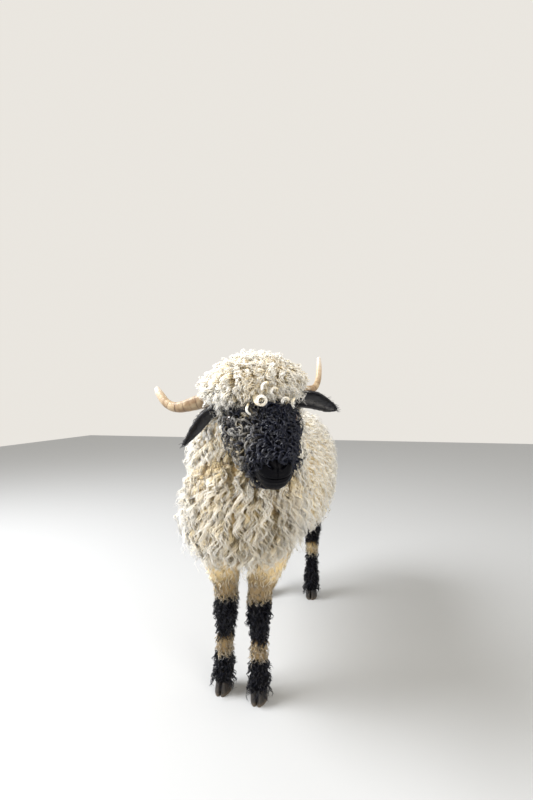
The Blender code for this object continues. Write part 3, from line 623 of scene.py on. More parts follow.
skin_parts, _, _ = part_of(places)
skin_black = blackness(places, skin_parts)
print("black share of the skin", round(float(skin_black.mean()), 3))

# %% [markdown]
# ## Locks
# A lock of wool is a bundle of strands that share a root and a wave, and draw together at the tip.
# Each strand is a thin closed tube with three sides. All strands of a kind are made at once: the
# path of every strand is an array of points, and the rings of vertices stand round that path.
# Hair curves would be lighter in Blender, but they don't travel to other programs as a mesh does.


# %% Roots spread over a surface
def surface_of(thing):
    """The corners, area and normal of each triangle of a mesh, in the tables' axes."""
    bm = bmesh.new()
    bm.from_mesh(thing.data)
    bmesh.ops.triangulate(bm, faces=bm.faces)
    corners = np.array([[v.co for v in f.verts] for f in bm.faces]) - STEP
    bm.free()
    crosses = np.cross(corners[:, 1] - corners[:, 0], corners[:, 2] - corners[:, 0])
    return {"corners": corners, "areas": np.linalg.norm(crosses, axis=1) / 2, "normals": unit(crosses)}


def scatter(surface, chosen, spacing):
    """Points and normals on the chosen triangles, at most one in each cell of the given size."""
    faces = np.flatnonzero(chosen)
    area = surface["areas"][faces]
    tries = int(6 * area.sum() / spacing**2)  # enough to find nearly every cell
    picked = rng.choice(faces, tries, p=area / area.sum())
    u, v = rng.random((2, tries, 1))
    fold = u + v > 1
    u, v = np.where(fold, 1 - u, u), np.where(fold, 1 - v, v)
    a, b, c = surface["corners"][picked].transpose(1, 0, 2)
    points = a + u * (b - a) + v * (c - a)
    cells = np.floor(points / spacing + rng.random(3)).astype(int)
    _, first = np.unique(cells, axis=0, return_index=True)
    return points[first], surface["normals"][picked[first]]


body = surface_of(skin)
centres = body["corners"].mean(axis=1)
centre_parts, _, _ = part_of(centres)
print("skin area", round(float(body["areas"].sum()), 3), "m2")


# %% Strands from paths
PATCH = 0.003  # size of a strand on the map
TILES = 3  # parts to a side of the map
FLAT = 0.62  # thickness of a strand for its width


def strand_object(name, paths, widths, tones, blacks, patches):
    """One object of closed three-sided strands along paths, with the map its colours are kept in."""
    strands, rings = paths.shape[:2]
    heading = unit(np.gradient(paths, axis=1))
    reference = unit(paths[:, -1] - paths[:, 0])[:, None] + np.array((0.31, 0.17, 0.23))
    side = unit(np.cross(heading, reference))
    up = np.cross(side, heading)
    points = np.empty((strands, rings, 3, 3))
    for k in range(3):
        angle = 2 * np.pi * k / 3
        across = side * math.cos(angle) + up * math.sin(angle) * FLAT
        points[:, :, k] = paths + across * widths[..., None]
    k = np.arange(3)
    n = (k + 1) % 3
    base = (np.arange(strands)[:, None, None] * rings + np.arange(rings - 1)[:, None]) * 3
    quads = np.stack([base + k, base + n, base + n + 3, base + k + 3], -1).reshape(-1, 4)
    roots = np.arange(strands)[:, None] * rings * 3
    ends = np.vstack([roots + (2, 1, 0), roots + (rings - 1) * 3 + (0, 1, 2)])
    made = mesh_object(name, points.reshape(-1, 3), [quads, ends])
    along = np.broadcast_to(np.linspace(0, 1, rings)[None, :, None], (strands, rings, 3))
    each = np.ones((1, rings, 3))
    add_values(made, along=along, tone=tones[:, None, None] * each, dark=blacks[:, None, None] * each)
    patch = np.empty((strands, rings, 3, 2))
    patch[..., 0] = patches[:, 0, None, None] + PATCH * (along - 0.5)
    patch[..., 1] = patches[:, 1, None, None] + PATCH * (k - 1) / 2
    dark = (blacks > 0.5).astype(np.int32)
    index = np.concatenate([np.repeat(dark, 3 * (rings - 1)), dark, dark])
    made.data.polygons.foreach_set("material_index", index)
    layer = made.data.uv_layers.new(name="OFBake")
    corners = stored(made.data.loops, "vertex_index")
    layer.data.foreach_set("uv", patch.reshape(-1, 2)[corners].astype(np.float32).ravel())
    return made


def unwrapped(points):
    """Each point's place on an unwrap of the skin: a tile for each part, laid out along and around."""
    parts, along, around = part_of(points)
    column, row = parts % TILES, parts // TILES
    u = (column + 0.04 + 0.92 * (around / (2 * np.pi) + 0.5)) / TILES
    v = (row + 0.04 + 0.92 * along) / TILES
    return np.stack([u, v], -1)


# %% [markdown]
# ## How a lock is bent
# The wool leaves the skin steeply, bends over and lies down along the body. On top of this goes a
# wave, the crimp, which is a corkscrew as long as the strand. The numbers of each kind of coat are
# kept in one table, so that a change of character is a change of a number. Where the wool is
# soiled it is darker, and on the legs most of all. On the throat, the middle of the breast and under
# the jaw it is yellower and darker, partly from a real stain and partly as painted warm shade under
# the head.

# %% Kinds of coat
KINDS = {
    # spacing, length, rise off the skin (for the crown a share of its depth), width, wave,
    # wave length, strands, spread, rings, and how much the locks turn out of their way
    "fleece": (0.0216, 0.062, 0.026, 0.0021, 0.0036, 0.020, 3, 0.0060, 8, 0.30),
    "breast": (0.0164, 0.084, 0.022, 0.0014, 0.0058, 0.033, 8, 0.0064, 10, 0.20),
    "crown": (0.0085, 0.013, 1.0, 0.0012, 0.0034, 0.013, 8, 0.0074, 10, 0.5),
    "temple": (0.0129, 0.054, 0.014, 0.0013, 0.0040, 0.019, 6, 0.0074, 11, 0.3),
    "face": (0.0090, 0.027, 0.010, 0.0025, 0.0052, 0.0165, 2, 0.0022, 11, 0.9),
    "thigh": (0.0140, 0.020, 0.006, 0.0017, 0.0024, 0.014, 2, 0.0050, 5, 0.35),
    "shank": (0.0105, 0.020, 0.008, 0.0019, 0.0030, 0.012, 2, 0.0040, 6, 0.5),
    "ear": (0.0070, 0.013, 0.0020, 0.0009, 0.0008, 0.016, 1, 0.0, 6, 0.3),
}
FRINGE = 0.385  # the wool of the breast hangs down to this height
CORONET = 0.066  # below this height the black hair of the feet is long and hangs over the hooves
BROW = (0.070, -0.180, 0.875)
JAW = (0.045, -0.120, 0.660)
PIECE_LIMIT = 180000  # triangles in one object
ROOT_DEPTH = 0.006  # the strands start this far under the skin
CLEARANCE = 0.003  # and stay this far above the floor

print(len(KINDS), "kinds of coat")


# %% Which way the coat lies, where it is stained and where warm shade is painted
def lie_of(kind, points, normals):
    """The way the coat lies: down and back, on the crown outwards, on the face towards the nose, and
    on the temples down to the side."""
    if kind == "crown":
        fall = from_crown(points) * (1, 1, 0) + 0.025 * rng.normal(size=points.shape)
        fall = turned(LEVEL, fall + (0, 0, -0.08))
    elif kind == "face":
        fall = turned(HEAD, np.broadcast_to((0, -1.0, -0.7), points.shape))
        fall = fall + 0.8 * rng.normal(size=points.shape)
    elif kind == "temple":
        side = np.clip(moved(LEVEL.inverted(), points)[:, :1] / 0.06, -1, 1)
        fall = turned(LEVEL, side * (0.35, 0, 0) + (0, -0.25, -1.0))
    elif kind == "fleece":
        fall = points * (2.0, 0, 0) + (0, 0.5, -1.0)
    else:
        fall = np.broadcast_to((0, 0.05, -1.0), points.shape)
    return along_surface(fall + 1e-4, normals)


def stain_and_shade(points):
    """Where the wool is yellow or dark: stained on the brow and soiled down the legs; on the throat,
    the middle of the breast and under the jaw partly stained and partly painted warm shade under the
    head.
    """
    # Throat, middle of the breast and jaw: partly a yellow stain, partly painted warm shade under the
    # head.
    throat = bump(points[:, 0] - 0.02, 0.11) * fade(0.04, -0.06, points[:, 1])
    throat *= fade(0.76, 0.66, points[:, 2])
    jaw = bump(np.linalg.norm(points - JAW, axis=1), 0.085)
    legs = fade(0.44, 0.27, points[:, 2])
    brow = bump(np.linalg.norm(points - BROW, axis=1), 0.07)
    return np.minimum(0.38 * brow + 0.95 * throat + 0.9 * jaw, 1.15) + 1.7 * legs


def greyed_and_lit(points):
    """Where pale hairs are mixed into the black and the curls are painted paler as a highlight of the
    lit side: on the temple and the jaw of the right side.
    """
    x, y, _ = moved(HEAD.inverted(), points).T
    eye = np.linalg.norm(moved(eye_matrix(-1).inverted(), points), axis=1)
    return fade(-0.015, -0.050, x) * fade(-0.215, -0.150, y) * fade(0.024, 0.036, eye)


def tone_of(points, uneven=0):
    """How light the wool is, from -1 where it is soiled to 1, with the painted shade under the head
    included; used for locks and skin.
    """
    return 0.75 + 0.25 * wobble(points, 0.05) + uneven - stain_and_shade(points)


# %% Locks of one kind
def locks(name, kind, points, normals, fall=None):
    """The strands of all locks of one kind, split into objects small enough to handle."""
    _, length, rise, width, wave, wave_length, each, spread, rings, turning = KINDS[kind]
    count = len(points)
    if kind == "crown":  # its locks end on an outline of their own
        local = from_crown(points)
        out = local * (CROWN_TIPS / crown_radii(SKIN_DEPTH["crown"]) - 1) + CROWN_SHIFT
        high = fade(0.1, 0.95, unit(local)[:, 2])
        out[:, 0] -= CROWN_TAPER * high * np.clip(local[:, 0] / 0.06, -1, 1)
        rise = rise * np.linalg.norm(out, axis=1)
        normals = unit(turned(LEVEL, out))
    size = (1 + 0.16 * rng.normal(size=count)).clip(0.6, 1.4)
    if kind in ("breast", "fleece"):
        size *= 1 - 0.5 * fade(0.1, 0.8, -normals[:, 2])
    if kind == "temple":
        size *= 0.62 + 0.38 * fade(0.050, 0.080, np.abs(moved(LEVEL.inverted(), points)[:, 0]))
    if kind == "breast":
        room = ((points[:, 2] - FRINGE) / length).clip(0.25, 1)  # down to the fringe
        size *= room * (1 - 0.5 * fade(0.70, 0.79, points[:, 2]))
    if kind == "shank":
        size *= 1 + 0.45 * fade(CORONET, CORONET - 0.02, points[:, 2])
    lie = lie_of(kind, points, normals) if fall is None else along_surface(fall, normals)
    turn = turning * (wobble(points, 0.030) + 0.35 * rng.normal(size=count))
    side = np.cross(normals, lie)
    lie = lie * np.cos(turn)[:, None] + side * np.sin(turn)[:, None]
    side = np.cross(normals, lie)
    phase = 3 * wobble(points + 0.4, 0.028) + 1.6 * turning * rng.normal(size=count)
    hand = np.where(wobble(points - 0.3, 0.040) + 0.3 * rng.normal(size=count) < 0, -1, 1)
    if kind in ("ear", "temple"):
        black = np.full(count, float(kind == "ear"))
    else:
        black = (blackness(points, part_of(points)[0]) > rng.random(count)).astype(float)
    if kind == "face":
        # Greyed curls on the right of the face: partly real pale hairs, partly a painted highlight of
        # the side the key light falls on.
        black -= 0.45 * greyed_and_lit(points) * rng.random(count) ** 1.5 * black
    patches = unwrapped(points)
    tone = tone_of(points, 0.12 * rng.normal(size=count))
    t = np.linspace(0, 1, rings)
    taper = 0.75 + 0.25 * fade(0, 0.3, t) - 0.82 * t**4
    lift = 0.80 + 0.35 * rng.random(count)
    rows = []
    for k in range(each):
        own = 1 + 0.10 * rng.normal(size=count)
        angle = 2 * np.pi * k / each + phase
        offset = side * np.cos(angle)[:, None] + lie * np.sin(angle)[:, None]
        offset = offset * (spread * (0.6 + 0.8 * rng.random(count)) * (each > 1))[:, None]
        long = (length * size * own)[:, None]
        up = (rise * size * (lift + 0.10 * rng.normal(size=count)))[:, None]
        out = up * (1 - (1 - t) ** 2) * (1 - 0.25 * t**3) - ROOT_DEPTH * (1 - t)
        flow = long * (0.3 * t + 0.7 * t**1.7)
        path = points[:, None] + normals[:, None] * out[..., None] + lie[:, None] * flow[..., None]
        path += offset[:, None] * (1 - 0.75 * t)[None, :, None]
        swing = hand[:, None] * 2 * np.pi * t * long / (wave_length * size[:, None])
        swing = swing + phase[:, None] + 0.22 * rng.normal(size=count)[:, None]
        reach = wave * size[:, None] * fade(0, 0.3, t) * (1 + 0.6 * t**2)
        path += side[:, None] * (np.cos(swing) * reach)[..., None]
        path += normals[:, None] * (np.sin(swing) * reach * 0.8)[..., None]
        widths = width * (0.75 + 0.5 * rng.random(count))[:, None] * taper
        rows.append((path, widths, tone + 0.12 * rng.normal(size=count), black, patches))
    paths, widths, tones, blacks, patches = (np.concatenate(column) for column in zip(*rows))
    paths[..., 2] = np.maximum(paths[..., 2], CLEARANCE)
    values = (paths, widths, tones.clip(-1, 1), blacks, patches)
    order = np.argsort(paths[:, 0, 1], kind="stable")
    per_strand = 6 * (rings - 1) + 2
    pieces = math.ceil(len(paths) * per_strand / PIECE_LIMIT)
    made = []
    for number, some in enumerate(np.array_split(order, pieces)):
        label = f"{name}_{number + 1}" if pieces > 1 else name
        made.append(strand_object(label, *(column[some] for column in values)))
    print(name, count, "locks,", len(paths) * per_strand, "triangles in", pieces)
    return made


# %% The coat
def is_part(*names):
    return np.isin(centre_parts, [NAMES.index(n) for n in names])


BREAST_DEPTH = 0.03  # the wool in front of this is that of the breast
THIGH_END = 0.30  # height where the short wool of the thighs ends
NECK_TOP = (0.81, 0.765)  # from here up, in front and behind, the neck has the locks of the temples
CURLS_END = (-0.246, -0.206)  # along the head, on top of the nose and beside it
EYE_ROOM = 0.045  # no lock of the temples starts this near to an eye
LID_ROOM = 1.75  # the curls of the face start outside an oval this many times the opening
HOOF_ROOM = 0.012  # and the hair of the feet this far above the hooves

legs = ("fore_left", "fore_right", "hind_left", "hind_right")
height = centres[:, 2]
front = centres[:, 1] < BREAST_DEPTH
trunk = is_part("torso", "neck")
nape = is_part("neck") & (height >= np.where(front, *NECK_TOP))
upper_leg = is_part(*legs) & (height > THIGH_END)
lower_leg = is_part(*legs) & (height <= THIGH_END) & (height > SOLE + HOOF_ROOM)
clear_of_eyes = np.ones(len(centres), bool)
far_from_eyes = np.ones(len(centres), bool)
for sign in (-1, 1):
    local = moved(eye_matrix(sign).inverted(), centres)
    far_from_eyes &= np.linalg.norm(local, axis=1) > EYE_ROOM
    reach = np.hypot(local[:, 0] / LID_LENGTH, local[:, 1] / LID_HEIGHT)
    clear_of_eyes &= (reach > LID_ROOM) | (local[:, 2] < -0.03)
x, y, z = moved(HEAD.inverted(), centres).T
face = is_part("head") & clear_of_eyes & (y > np.where(z > -0.072, *CURLS_END))
x, y, z = from_crown(centres).T
rim = is_part("crown", "head") & (np.abs(z + 0.034) < 0.024)  # a band along the crown's lower edge
rim |= is_part("crown") & (np.abs(x) > 0.066) & (np.abs(z) < 0.022)  # higher up at the sides
rim &= (np.abs(x) > 0.042) & (y < 0.015) & far_from_eyes  # but not over the brow or behind

COATS = {
    "fleece": ("fleece", trunk & ~front & ~nape | is_part("tail")),
    "breast": ("breast", trunk & front & (height < NECK_TOP[0])),
    "crown": ("crown", is_part("crown")),
    "temples": ("temple", rim | nape),
    "face_curls": ("face", face),
    "thighs": ("thigh", upper_leg),
    "shanks": ("shank", lower_leg),
}
coat = []
for name, (kind, chosen) in COATS.items():
    points, normals = scatter(body, chosen, KINDS[kind][0])
    coat += locks(name, kind, points, normals)

# %% [markdown]
# ## Ringlets on the forehead
# A few long curls break the edge of the crown over the face. Each one is a bundle of strands that
# starts inside the crown, comes out of it and winds round a line towards the viewer. They are
# listed in the axes of the level head.

# %% Ringlets
RINGLETS = (
    # middle, radius of the ring, first angle, turns, drop from start to end
    ((-0.0127, -0.124, -0.0168), 0.0125, 100, 1.30, 0.002),
    ((0.0012, -0.120, 0.0100), 0.0125, 20, 0.50, 0.002),
    ((0.0200, -0.120, -0.0010), 0.0095, -20, 0.62, 0.002),
    ((0.0425, -0.120, -0.0260), 0.0100, -40, 0.62, 0.003),
    ((-0.0360, -0.120, -0.0370), 0.0137, 90, 0.44, 0.000),
    ((0.0700, -0.106, -0.0300), 0.0085, 40, 0.55, 0.008),
)
RINGLET_STRANDS = 8
RINGLET_SPREAD = 0.0022  # of the strands round the middle of their curl
RINGLET_ROOT = 0.026  # how deep inside the crown they start
t = np.linspace(0, 1, 34)
paths = []
for middle, radius, first, turns, drop in RINGLETS:
    for k in range(RINGLET_STRANDS):
        angle = np.radians(first) + 2 * np.pi * turns * t
        turn = 2 * np.pi * k / RINGLET_STRANDS
        own = radius * (1 - 0.25 * t) + RINGLET_SPREAD * math.cos(turn)
        depth = 0.006 * t - RINGLET_ROOT * (1 - fade(0, 0.3, t)) + RINGLET_SPREAD * math.sin(turn)
        curl = np.stack([own * np.cos(angle), -depth, own * np.sin(angle) - drop * t], -1)
        paths.append(moved(LEVEL, curl + middle) + 0.0006 * rng.normal(size=3))
paths = np.array(paths)
widths = np.broadcast_to(0.0013 * (1 - 0.6 * t**3), paths.shape[:2])
tones = 0.85 + 0.2 * rng.normal(size=len(paths))
roots = unwrapped(paths[:, 0])
coat.append(strand_object("ringlets", paths, widths, tones, np.zeros(len(paths)), roots))
print("ringlets", len(RINGLETS), "locks,", len(paths), "strands")

# %% [markdown]
# ## Ears, horns, eyes and hooves
# These stay separate pieces, as they do on the animal. Each replaces one solid and is made from the
# same sizes, with many more rows: the ears get a soft rim and hair, the horns their growth rings,
# the eyes an iris and a long level pupil, and the hooves ridges and rounded edges.


# %% Ears
def ear_rings(name):
    """Rings of points round a leaf rolled to a cup, with the cup open to the front."""
    sign = -1 if name == "right" else 1
    middle = LEVEL.inverted() @ HEAD @ Vector(EAR_ROOT[name])
    start, end = EAR_DROOP[name]
    level, hanging = EAR_BEND[name]
    turns = np.linspace(-1, 1, 17)
    rings, before = [], 0
    for place, half, angle, thick in smooth(EAR, 40):
        bend = np.clip((place - level) / (hanging - level), 0, 1)
        droop = math.radians(start + (end - start) * bend)
        out = math.cos(EAR_BACK) * math.cos(droop)
        along = Vector((sign * out, math.sin(EAR_BACK), -math.sin(droop))).normalized()
        middle = middle + along * EAR_LENGTH * (place - before)
        before = place
        roll = Matrix.Rotation(math.radians(EAR_ROLL[name]), 3, along)
        across = (roll @ along.cross(EAR_FRONT)).normalized()
        cup = across.cross(along).normalized()
        angle = math.radians(angle)
        radius = half / angle
        ring = []
        for size, way in ((radius, turns), (radius - thick, turns[::-1])):
            deep = radius - size * np.cos(angle * way)
            wide = size * np.sin(angle * way)
            in_cup = np.array(middle) + deep[:, None] * np.array(cup)
            ring.append(in_cup + wide[:, None] * np.array(across))
        rings.append(np.vstack(ring))
    return np.array(rings)


ears = []
for name in ("left", "right"):
    ear, points = ring_object("fine_ear_" + name, ear_rings(name), LEVEL)
    ears.append((ear, "ear_" + name))
    surface = surface_of(ear)
    root, tip = moved(LEVEL, points[-2:])  # the two poles
    shown = np.linalg.norm(surface["corners"].mean(axis=1) - root, axis=1) > 0.035
    points, normals = scatter(surface, shown, KINDS["ear"][0])
    coat += locks("ear_hair_" + name, "ear", points, normals, np.broadcast_to(tip - root, points.shape))


# %% Horns
HORN_ROWS = 120
HORN_RINGS = 15
HORN_RELIEF = 0.055


def horn(name):
    """A ringed horn with a keel along its upper edge and a rounded tip."""
    rows = smooth(HORN, HORN_ROWS)
    share = np.linspace(0, 1, HORN_ROWS)
    rows[:, 2] += HORN_RISE[name] * share**2
    rows[:, 0] *= HORN_SPREAD[name] * (-1 if name == "right" else 1)
    ridge = np.abs(np.sin(np.pi * HORN_RINGS * share + 1.1 * np.sin(17 * share)))
    radius = rows[:, 3] * HORN_THICKNESS[name] * (1 + HORN_RELIEF * (1 - 0.8 * share) * (ridge - 0.6))
    heading = unit(np.gradient(rows[:, :3], axis=0))
    turn = np.radians(np.array((25, 50, 70, 84)))
    tip = rows[-1, :3] + heading[-1] * (radius[-1] * np.sin(turn))[:, None]
    middles = np.vstack([rows[:, :3], tip])
    radius = np.concatenate([radius, radius[-1] * np.cos(turn)])
    ridge = np.concatenate([ridge, np.ones(len(turn))])
    heading = np.vstack([heading, np.repeat(heading[-1:], len(turn), axis=0)])
    side = unit(np.cross(heading, UPWARD + 0.4 * FORWARD))
    up = np.cross(side, heading)
    angles = 2 * np.pi * np.arange(40) / 40
    keel = 1 + 0.13 * bump(angles - 1.9, 0.35) + 0.06 * bump(angles - 4.6, 0.5)
    reach = radius[:, None] * keel
    rings = middles[:, None] + side[:, None] * (reach * np.cos(angles))[..., None]
    rings = rings + up[:, None] * (reach * np.sin(angles))[..., None]
    poles = [middles[0], middles[-1] + heading[-1] * 0.0004]
    made, _ = ring_object("fine_horn_" + name, rings, LEVEL, poles)
    place = np.concatenate([share, np.ones(len(turn))])
    both = [np.repeat(values, len(angles)) for values in (place, ridge)]
    add_values(made, along=np.append(both[0], (0, 1)), ridge=np.append(both[1], (1, 1)))
    return made


horns = [(horn(name), "horn_" + name) for name in ("left", "right")]


# %% Eyes
def eyeball(name):
    """An eye with a bulging cornea, and masks for its iris and its level pupil."""
    sign = -1 if name == "right" else 1
    front = np.linspace(0.02, np.pi - 0.02, 60)[:, None]
    around = 2 * np.pi * np.arange(72) / 72
    radius = EYE_RADIUS * (1 + 0.06 * bump(front, 0.55))
    wide, deep = radius * np.sin(front), radius * np.cos(front)
    rings = np.stack([wide * np.cos(around), wide * np.sin(around), deep + 0 * around], -1)
    made, points = ring_object("fine_eye_" + name, rings, eye_matrix(sign))
    wide, high = points[:, 0] / EYE_RADIUS, points[:, 1] / EYE_RADIUS
    outer = points[:, 2] > 0
    iris = fade(0.80, 0.72, np.hypot(wide, high)) * outer
    pupil = fade(1.15, 0.85, np.abs(wide / 0.50) ** 3 + np.abs(high / 0.17) ** 3) * outer
    add_values(made, iris=iris, pupil=pupil)
    return made


eyes = [(eyeball(name), "eye_" + name) for name in ("left", "right")]


# %% Hooves
def rounded(outline):
    """A closed outline with its corners cut three times, so that it stays inside itself."""
    for _ in range(3):
        after = np.roll(outline, -1, axis=0)
        cuts = [0.75 * outline + 0.25 * after, 0.25 * outline + 0.75 * after]
        outline = np.stack(cuts, 1).reshape(-1, 2)
    return outline


def claw(name, side):
    """One claw of a foot, with ridges round it and soft edges."""
    x, y = PARTS[name]["rows"][-1, :2]
    turn = (1 if side == "outer" else -1) * (1 if name.endswith("left") else -1)
    outline = rounded(np.array(CLAW))
    high = np.concatenate([(0, 0.02, 0.06), np.linspace(0.12, 1, 26)])
    share = np.interp(high, (0, 0.4, 1), (1.0, 0.96, 0.86)) - 0.05 * bump(high, 0.03)
    share = share * (1 + 0.012 * np.sin(38 * high) * fade(0.05, 0.2, high))
    back = np.interp(high, (0, 0.4, 1), (0, 0.002, 0.006))
    wall = CLAW[0][0]
    rings = np.empty((len(high), len(outline), 3))
    rings[..., 0] = x + turn * (wall + (outline[:, 0] - wall) * share[:, None])
    rings[..., 1] = y + outline[:, 1] * share[:, None] + back[:, None]
    rings[..., 2] = high[:, None] * SOLE
    made, _ = ring_object(f"fine_hoof_{name}_{side}", rings)
    add_values(made, along=np.append(np.repeat(high, len(outline)), (0, 1)))
    return made


hooves = [(claw(name, side), f"hoof_{name}_{side}") for name in legs for side in ("outer", "inner")]
print(len(ears), "ears,", len(horns), "horns,", len(eyes), "eyes,", len(hooves), "claws")

# %% [markdown]
# ## Colours
# Wool is cream and a little yellow near the skin, and nearly white where the light has bleached the
# tips. The black parts are black, a little paler at the tips, and those tips are painted blue as a
# painted reflection of a blue sky on the curls. One node group works out this colour from the numbers
# stored on the vertices, and the materials of skin and coat both use it.


# %% Helpers for materials
def linear(*screen):
    """A colour read from a screen, 0 to 255, as the renderer wants it."""
    return (*(((c / 255 + 0.055) / 1.055) ** 2.4 if c > 10 else c / 3294.6 for c in screen), 1)


def plug(socket, value):
    """Sets a socket to a value, or links it to another socket."""
    if isinstance(value, bpy.types.NodeSocket):
        socket.id_data.links.new(value, socket)
    elif value is not None:
        socket.default_value = value


def fill(node, **values):
    """Sets sockets of a node by their names."""
    for name, value in values.items():
        plug(node.inputs[name.replace("_", " ")], value)
    return node


def put(tree, kind, **values):
    return fill(tree.nodes.new(kind), **values)


def blend(tree, factor, first, second):
    """A colour between two others."""
    node = tree.nodes.new("ShaderNodeMix")
    node.data_type = "RGBA"
    for number, value in ((0, factor), (6, first), (7, second)):
        plug(node.inputs[number], value)
    return node.outputs[2]


def read(tree, name):
    node = tree.nodes.new("ShaderNodeAttribute")
    node.attribute_name = name
    return node.outputs["Fac"]


def sums(tree, kind, *values, clamp=False):
    """The result of a sum, held between 0 and 1 if it is clamped."""
    node = tree.nodes.new("ShaderNodeMath")
    node.operation = kind
    node.use_clamp = clamp
    for socket, value in zip(node.inputs, values):
        plug(socket, value)
    return node.outputs[0]


def material(name, **values):
    """A material with values for its shader, with its nodes and that shader."""
    made = bpy.data.materials.new(name)
    made.use_nodes = True
    return made, made.node_tree, fill(made.node_tree.nodes["Principled BSDF"], **values)


def relief(tree, shader, height, depth, strength):
    node = put(tree, "ShaderNodeBump", Strength=strength, Distance=depth, Height=height)
    fill(shader, Normal=node.outputs["Normal"])


# %% The colour of the coat
WOOL_SOILED = linear(112, 90, 60)
WOOL_ROOT = linear(168, 134, 82)
WOOL_MID = linear(239, 217, 168)
WOOL_TIP = linear(252, 249, 240)
BLACK_ROOT = linear(3, 3, 7)
# Paler blue tips of the black hair: partly their own colour, partly a painted blue reflection of the
# sky.
BLACK_TIP_AND_REFLECTION = linear(20, 24, 40)

coat_colour = bpy.data.node_groups.new("coat_colour", "ShaderNodeTree")
for name in ("Along", "Tone", "Dark"):
    coat_colour.interface.new_socket(name, in_out="INPUT", socket_type="NodeSocketFloat")
coat_colour.interface.new_socket("Colour", in_out="OUTPUT", socket_type="NodeSocketColor")
entry = coat_colour.nodes.new("NodeGroupInput")
leave = coat_colour.nodes.new("NodeGroupOutput")
# A strand runs from root over middle to tip colour, and its tone moves it along that way. The most
# soiled wool, with a tone under -0.56, turns to a colour of its own.
shade = sums(coat_colour, "MULTIPLY_ADD", entry.outputs["Tone"], 0.7, -0.20, clamp=True)
reach = sums(coat_colour, "ADD", entry.outputs["Along"], shade)
lower = sums(coat_colour, "MULTIPLY", reach, 2.2, clamp=True)
upper = sums(coat_colour, "MULTIPLY_ADD", reach, 1.8, -0.8, clamp=True)
soiled = sums(coat_colour, "MULTIPLY_ADD", entry.outputs["Tone"], -1.8, -1.0, clamp=True)
cream = blend(coat_colour, upper, blend(coat_colour, lower, WOOL_ROOT, WOOL_MID), WOOL_TIP)
cream = blend(coat_colour, soiled, cream, WOOL_SOILED)
black = blend(coat_colour, upper, BLACK_ROOT, BLACK_TIP_AND_REFLECTION)
coat_colour.links.new(blend(coat_colour, entry.outputs["Dark"], cream, black), leave.inputs["Colour"])


def coat_material(name, roughness, sheen, specular, along=None, **values):
    """A material in the colours of the coat. Along is read from the mesh unless it is given."""
    made, tree, shader = material(name, Roughness=roughness, Specular_IOR_Level=specular, **values)
    group = tree.nodes.new("ShaderNodeGroup")
    group.node_tree = coat_colour
    along = read(tree, "along") if along is None else along
    fill(group, Along=along, Tone=read(tree, "tone"), Dark=read(tree, "dark"))
    fill(shader, Base_Color=group.outputs["Colour"], Sheen_Weight=sheen, Sheen_Roughness=0.4)
    return made, tree, shader


def fuzzy(tree, shader, scale, depth, strength):
    """Short hair as relief."""
    fuzz = put(tree, "ShaderNodeTexNoise", Scale=scale, Detail=5.0, Roughness=0.65)
    relief(tree, shader, fuzz.outputs["Fac"], depth, strength)


glow = {"Subsurface_Weight": 0.5, "Subsurface_Radius": (1.0, 0.9, 0.7), "Subsurface_Scale": 0.01}
wool, _, _ = coat_material("wool", 0.75, 0.12, 0.2, **glow)
black_wool, _, _ = coat_material("black_wool", 0.30, 0.0, 0.36)
for thing in coat:
    thing.data.materials.append(wool)
    thing.data.materials.append(black_wool)
    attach(thing, "root")

hide, tree, shader = coat_material("hide", 0.75, 0.15, 0.2, along=0.3)
fuzzy(tree, shader, 170.0, 0.004, 0.6)
black_hide, tree, shader = coat_material("black_hide", 0.42, 0.0, 0.08, along=0.1)
fuzzy(tree, shader, 420.0, 0.0012, 0.55)
skin.data.materials.clear()
skin.data.materials.append(hide)
skin.data.materials.append(black_hide)
first = stored(skin.data.loops, "vertex_index")[stored(skin.data.polygons, "loop_start")]
skin.data.polygons.foreach_set("material_index", (skin_black[first] > 0.5).astype(np.int32))
add_values(skin, dark=skin_black, tone=tone_of(places).clip(-1, 1))
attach(skin, "root")
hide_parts("torso", "neck", "head", "tail", *["leg_" + n for n in legs])


# %% Materials of ears, horns, eyes and hooves
def ramp(tree, value, low, high):
    """0 below low and 1 above high."""
    node = put(tree, "ShaderNodeMapRange", Value=value, From_Min=low, From_Max=high)
    return node.outputs["Result"]


def noise(tree, scale, detail=4.0, stretch=(1, 1, 1)):
    place = tree.nodes.new("ShaderNodeTexCoord")
    scaled = put(tree, "ShaderNodeMapping", Vector=place.outputs["Object"], Scale=stretch)
    texture = put(tree, "ShaderNodeTexNoise", Scale=scale, Detail=detail)
    return fill(texture, Vector=scaled.outputs["Vector"]).outputs["Fac"]


ear_skin, tree, shader = material("ear_skin", Roughness=0.36, Specular_IOR_Level=0.5)
spots = ramp(tree, noise(tree, 60.0), 0.35, 0.7)
fill(shader, Base_Color=blend(tree, spots, linear(10, 10, 13), linear(30, 30, 36)))
fuzzy(tree, shader, 500.0, 0.0008, 0.5)

horn_skin, tree, shader = material("horn_skin", Roughness=0.42, Specular_IOR_Level=0.5)
along, ridge = read(tree, "along"), read(tree, "ridge")
mottle = ramp(tree, noise(tree, 45.0), 0.38, 0.66)
base = blend(tree, mottle, linear(132, 106, 78), linear(180, 160, 130))
base = blend(tree, ramp(tree, along, 0.66, 0.80), base, linear(188, 168, 142))
base = blend(tree, ramp(tree, along, 0.80, 0.95), base, linear(204, 194, 182))
groove = sums(tree, "MULTIPLY", ramp(tree, ridge, 0.32, 0.02), ramp(tree, along, 0.98, 0.55))
base = blend(tree, groove, base, linear(92, 68, 48))
fill(shader, Base_Color=base)
relief(tree, shader, noise(tree, 260.0, 6.0), 0.0015, 0.35)

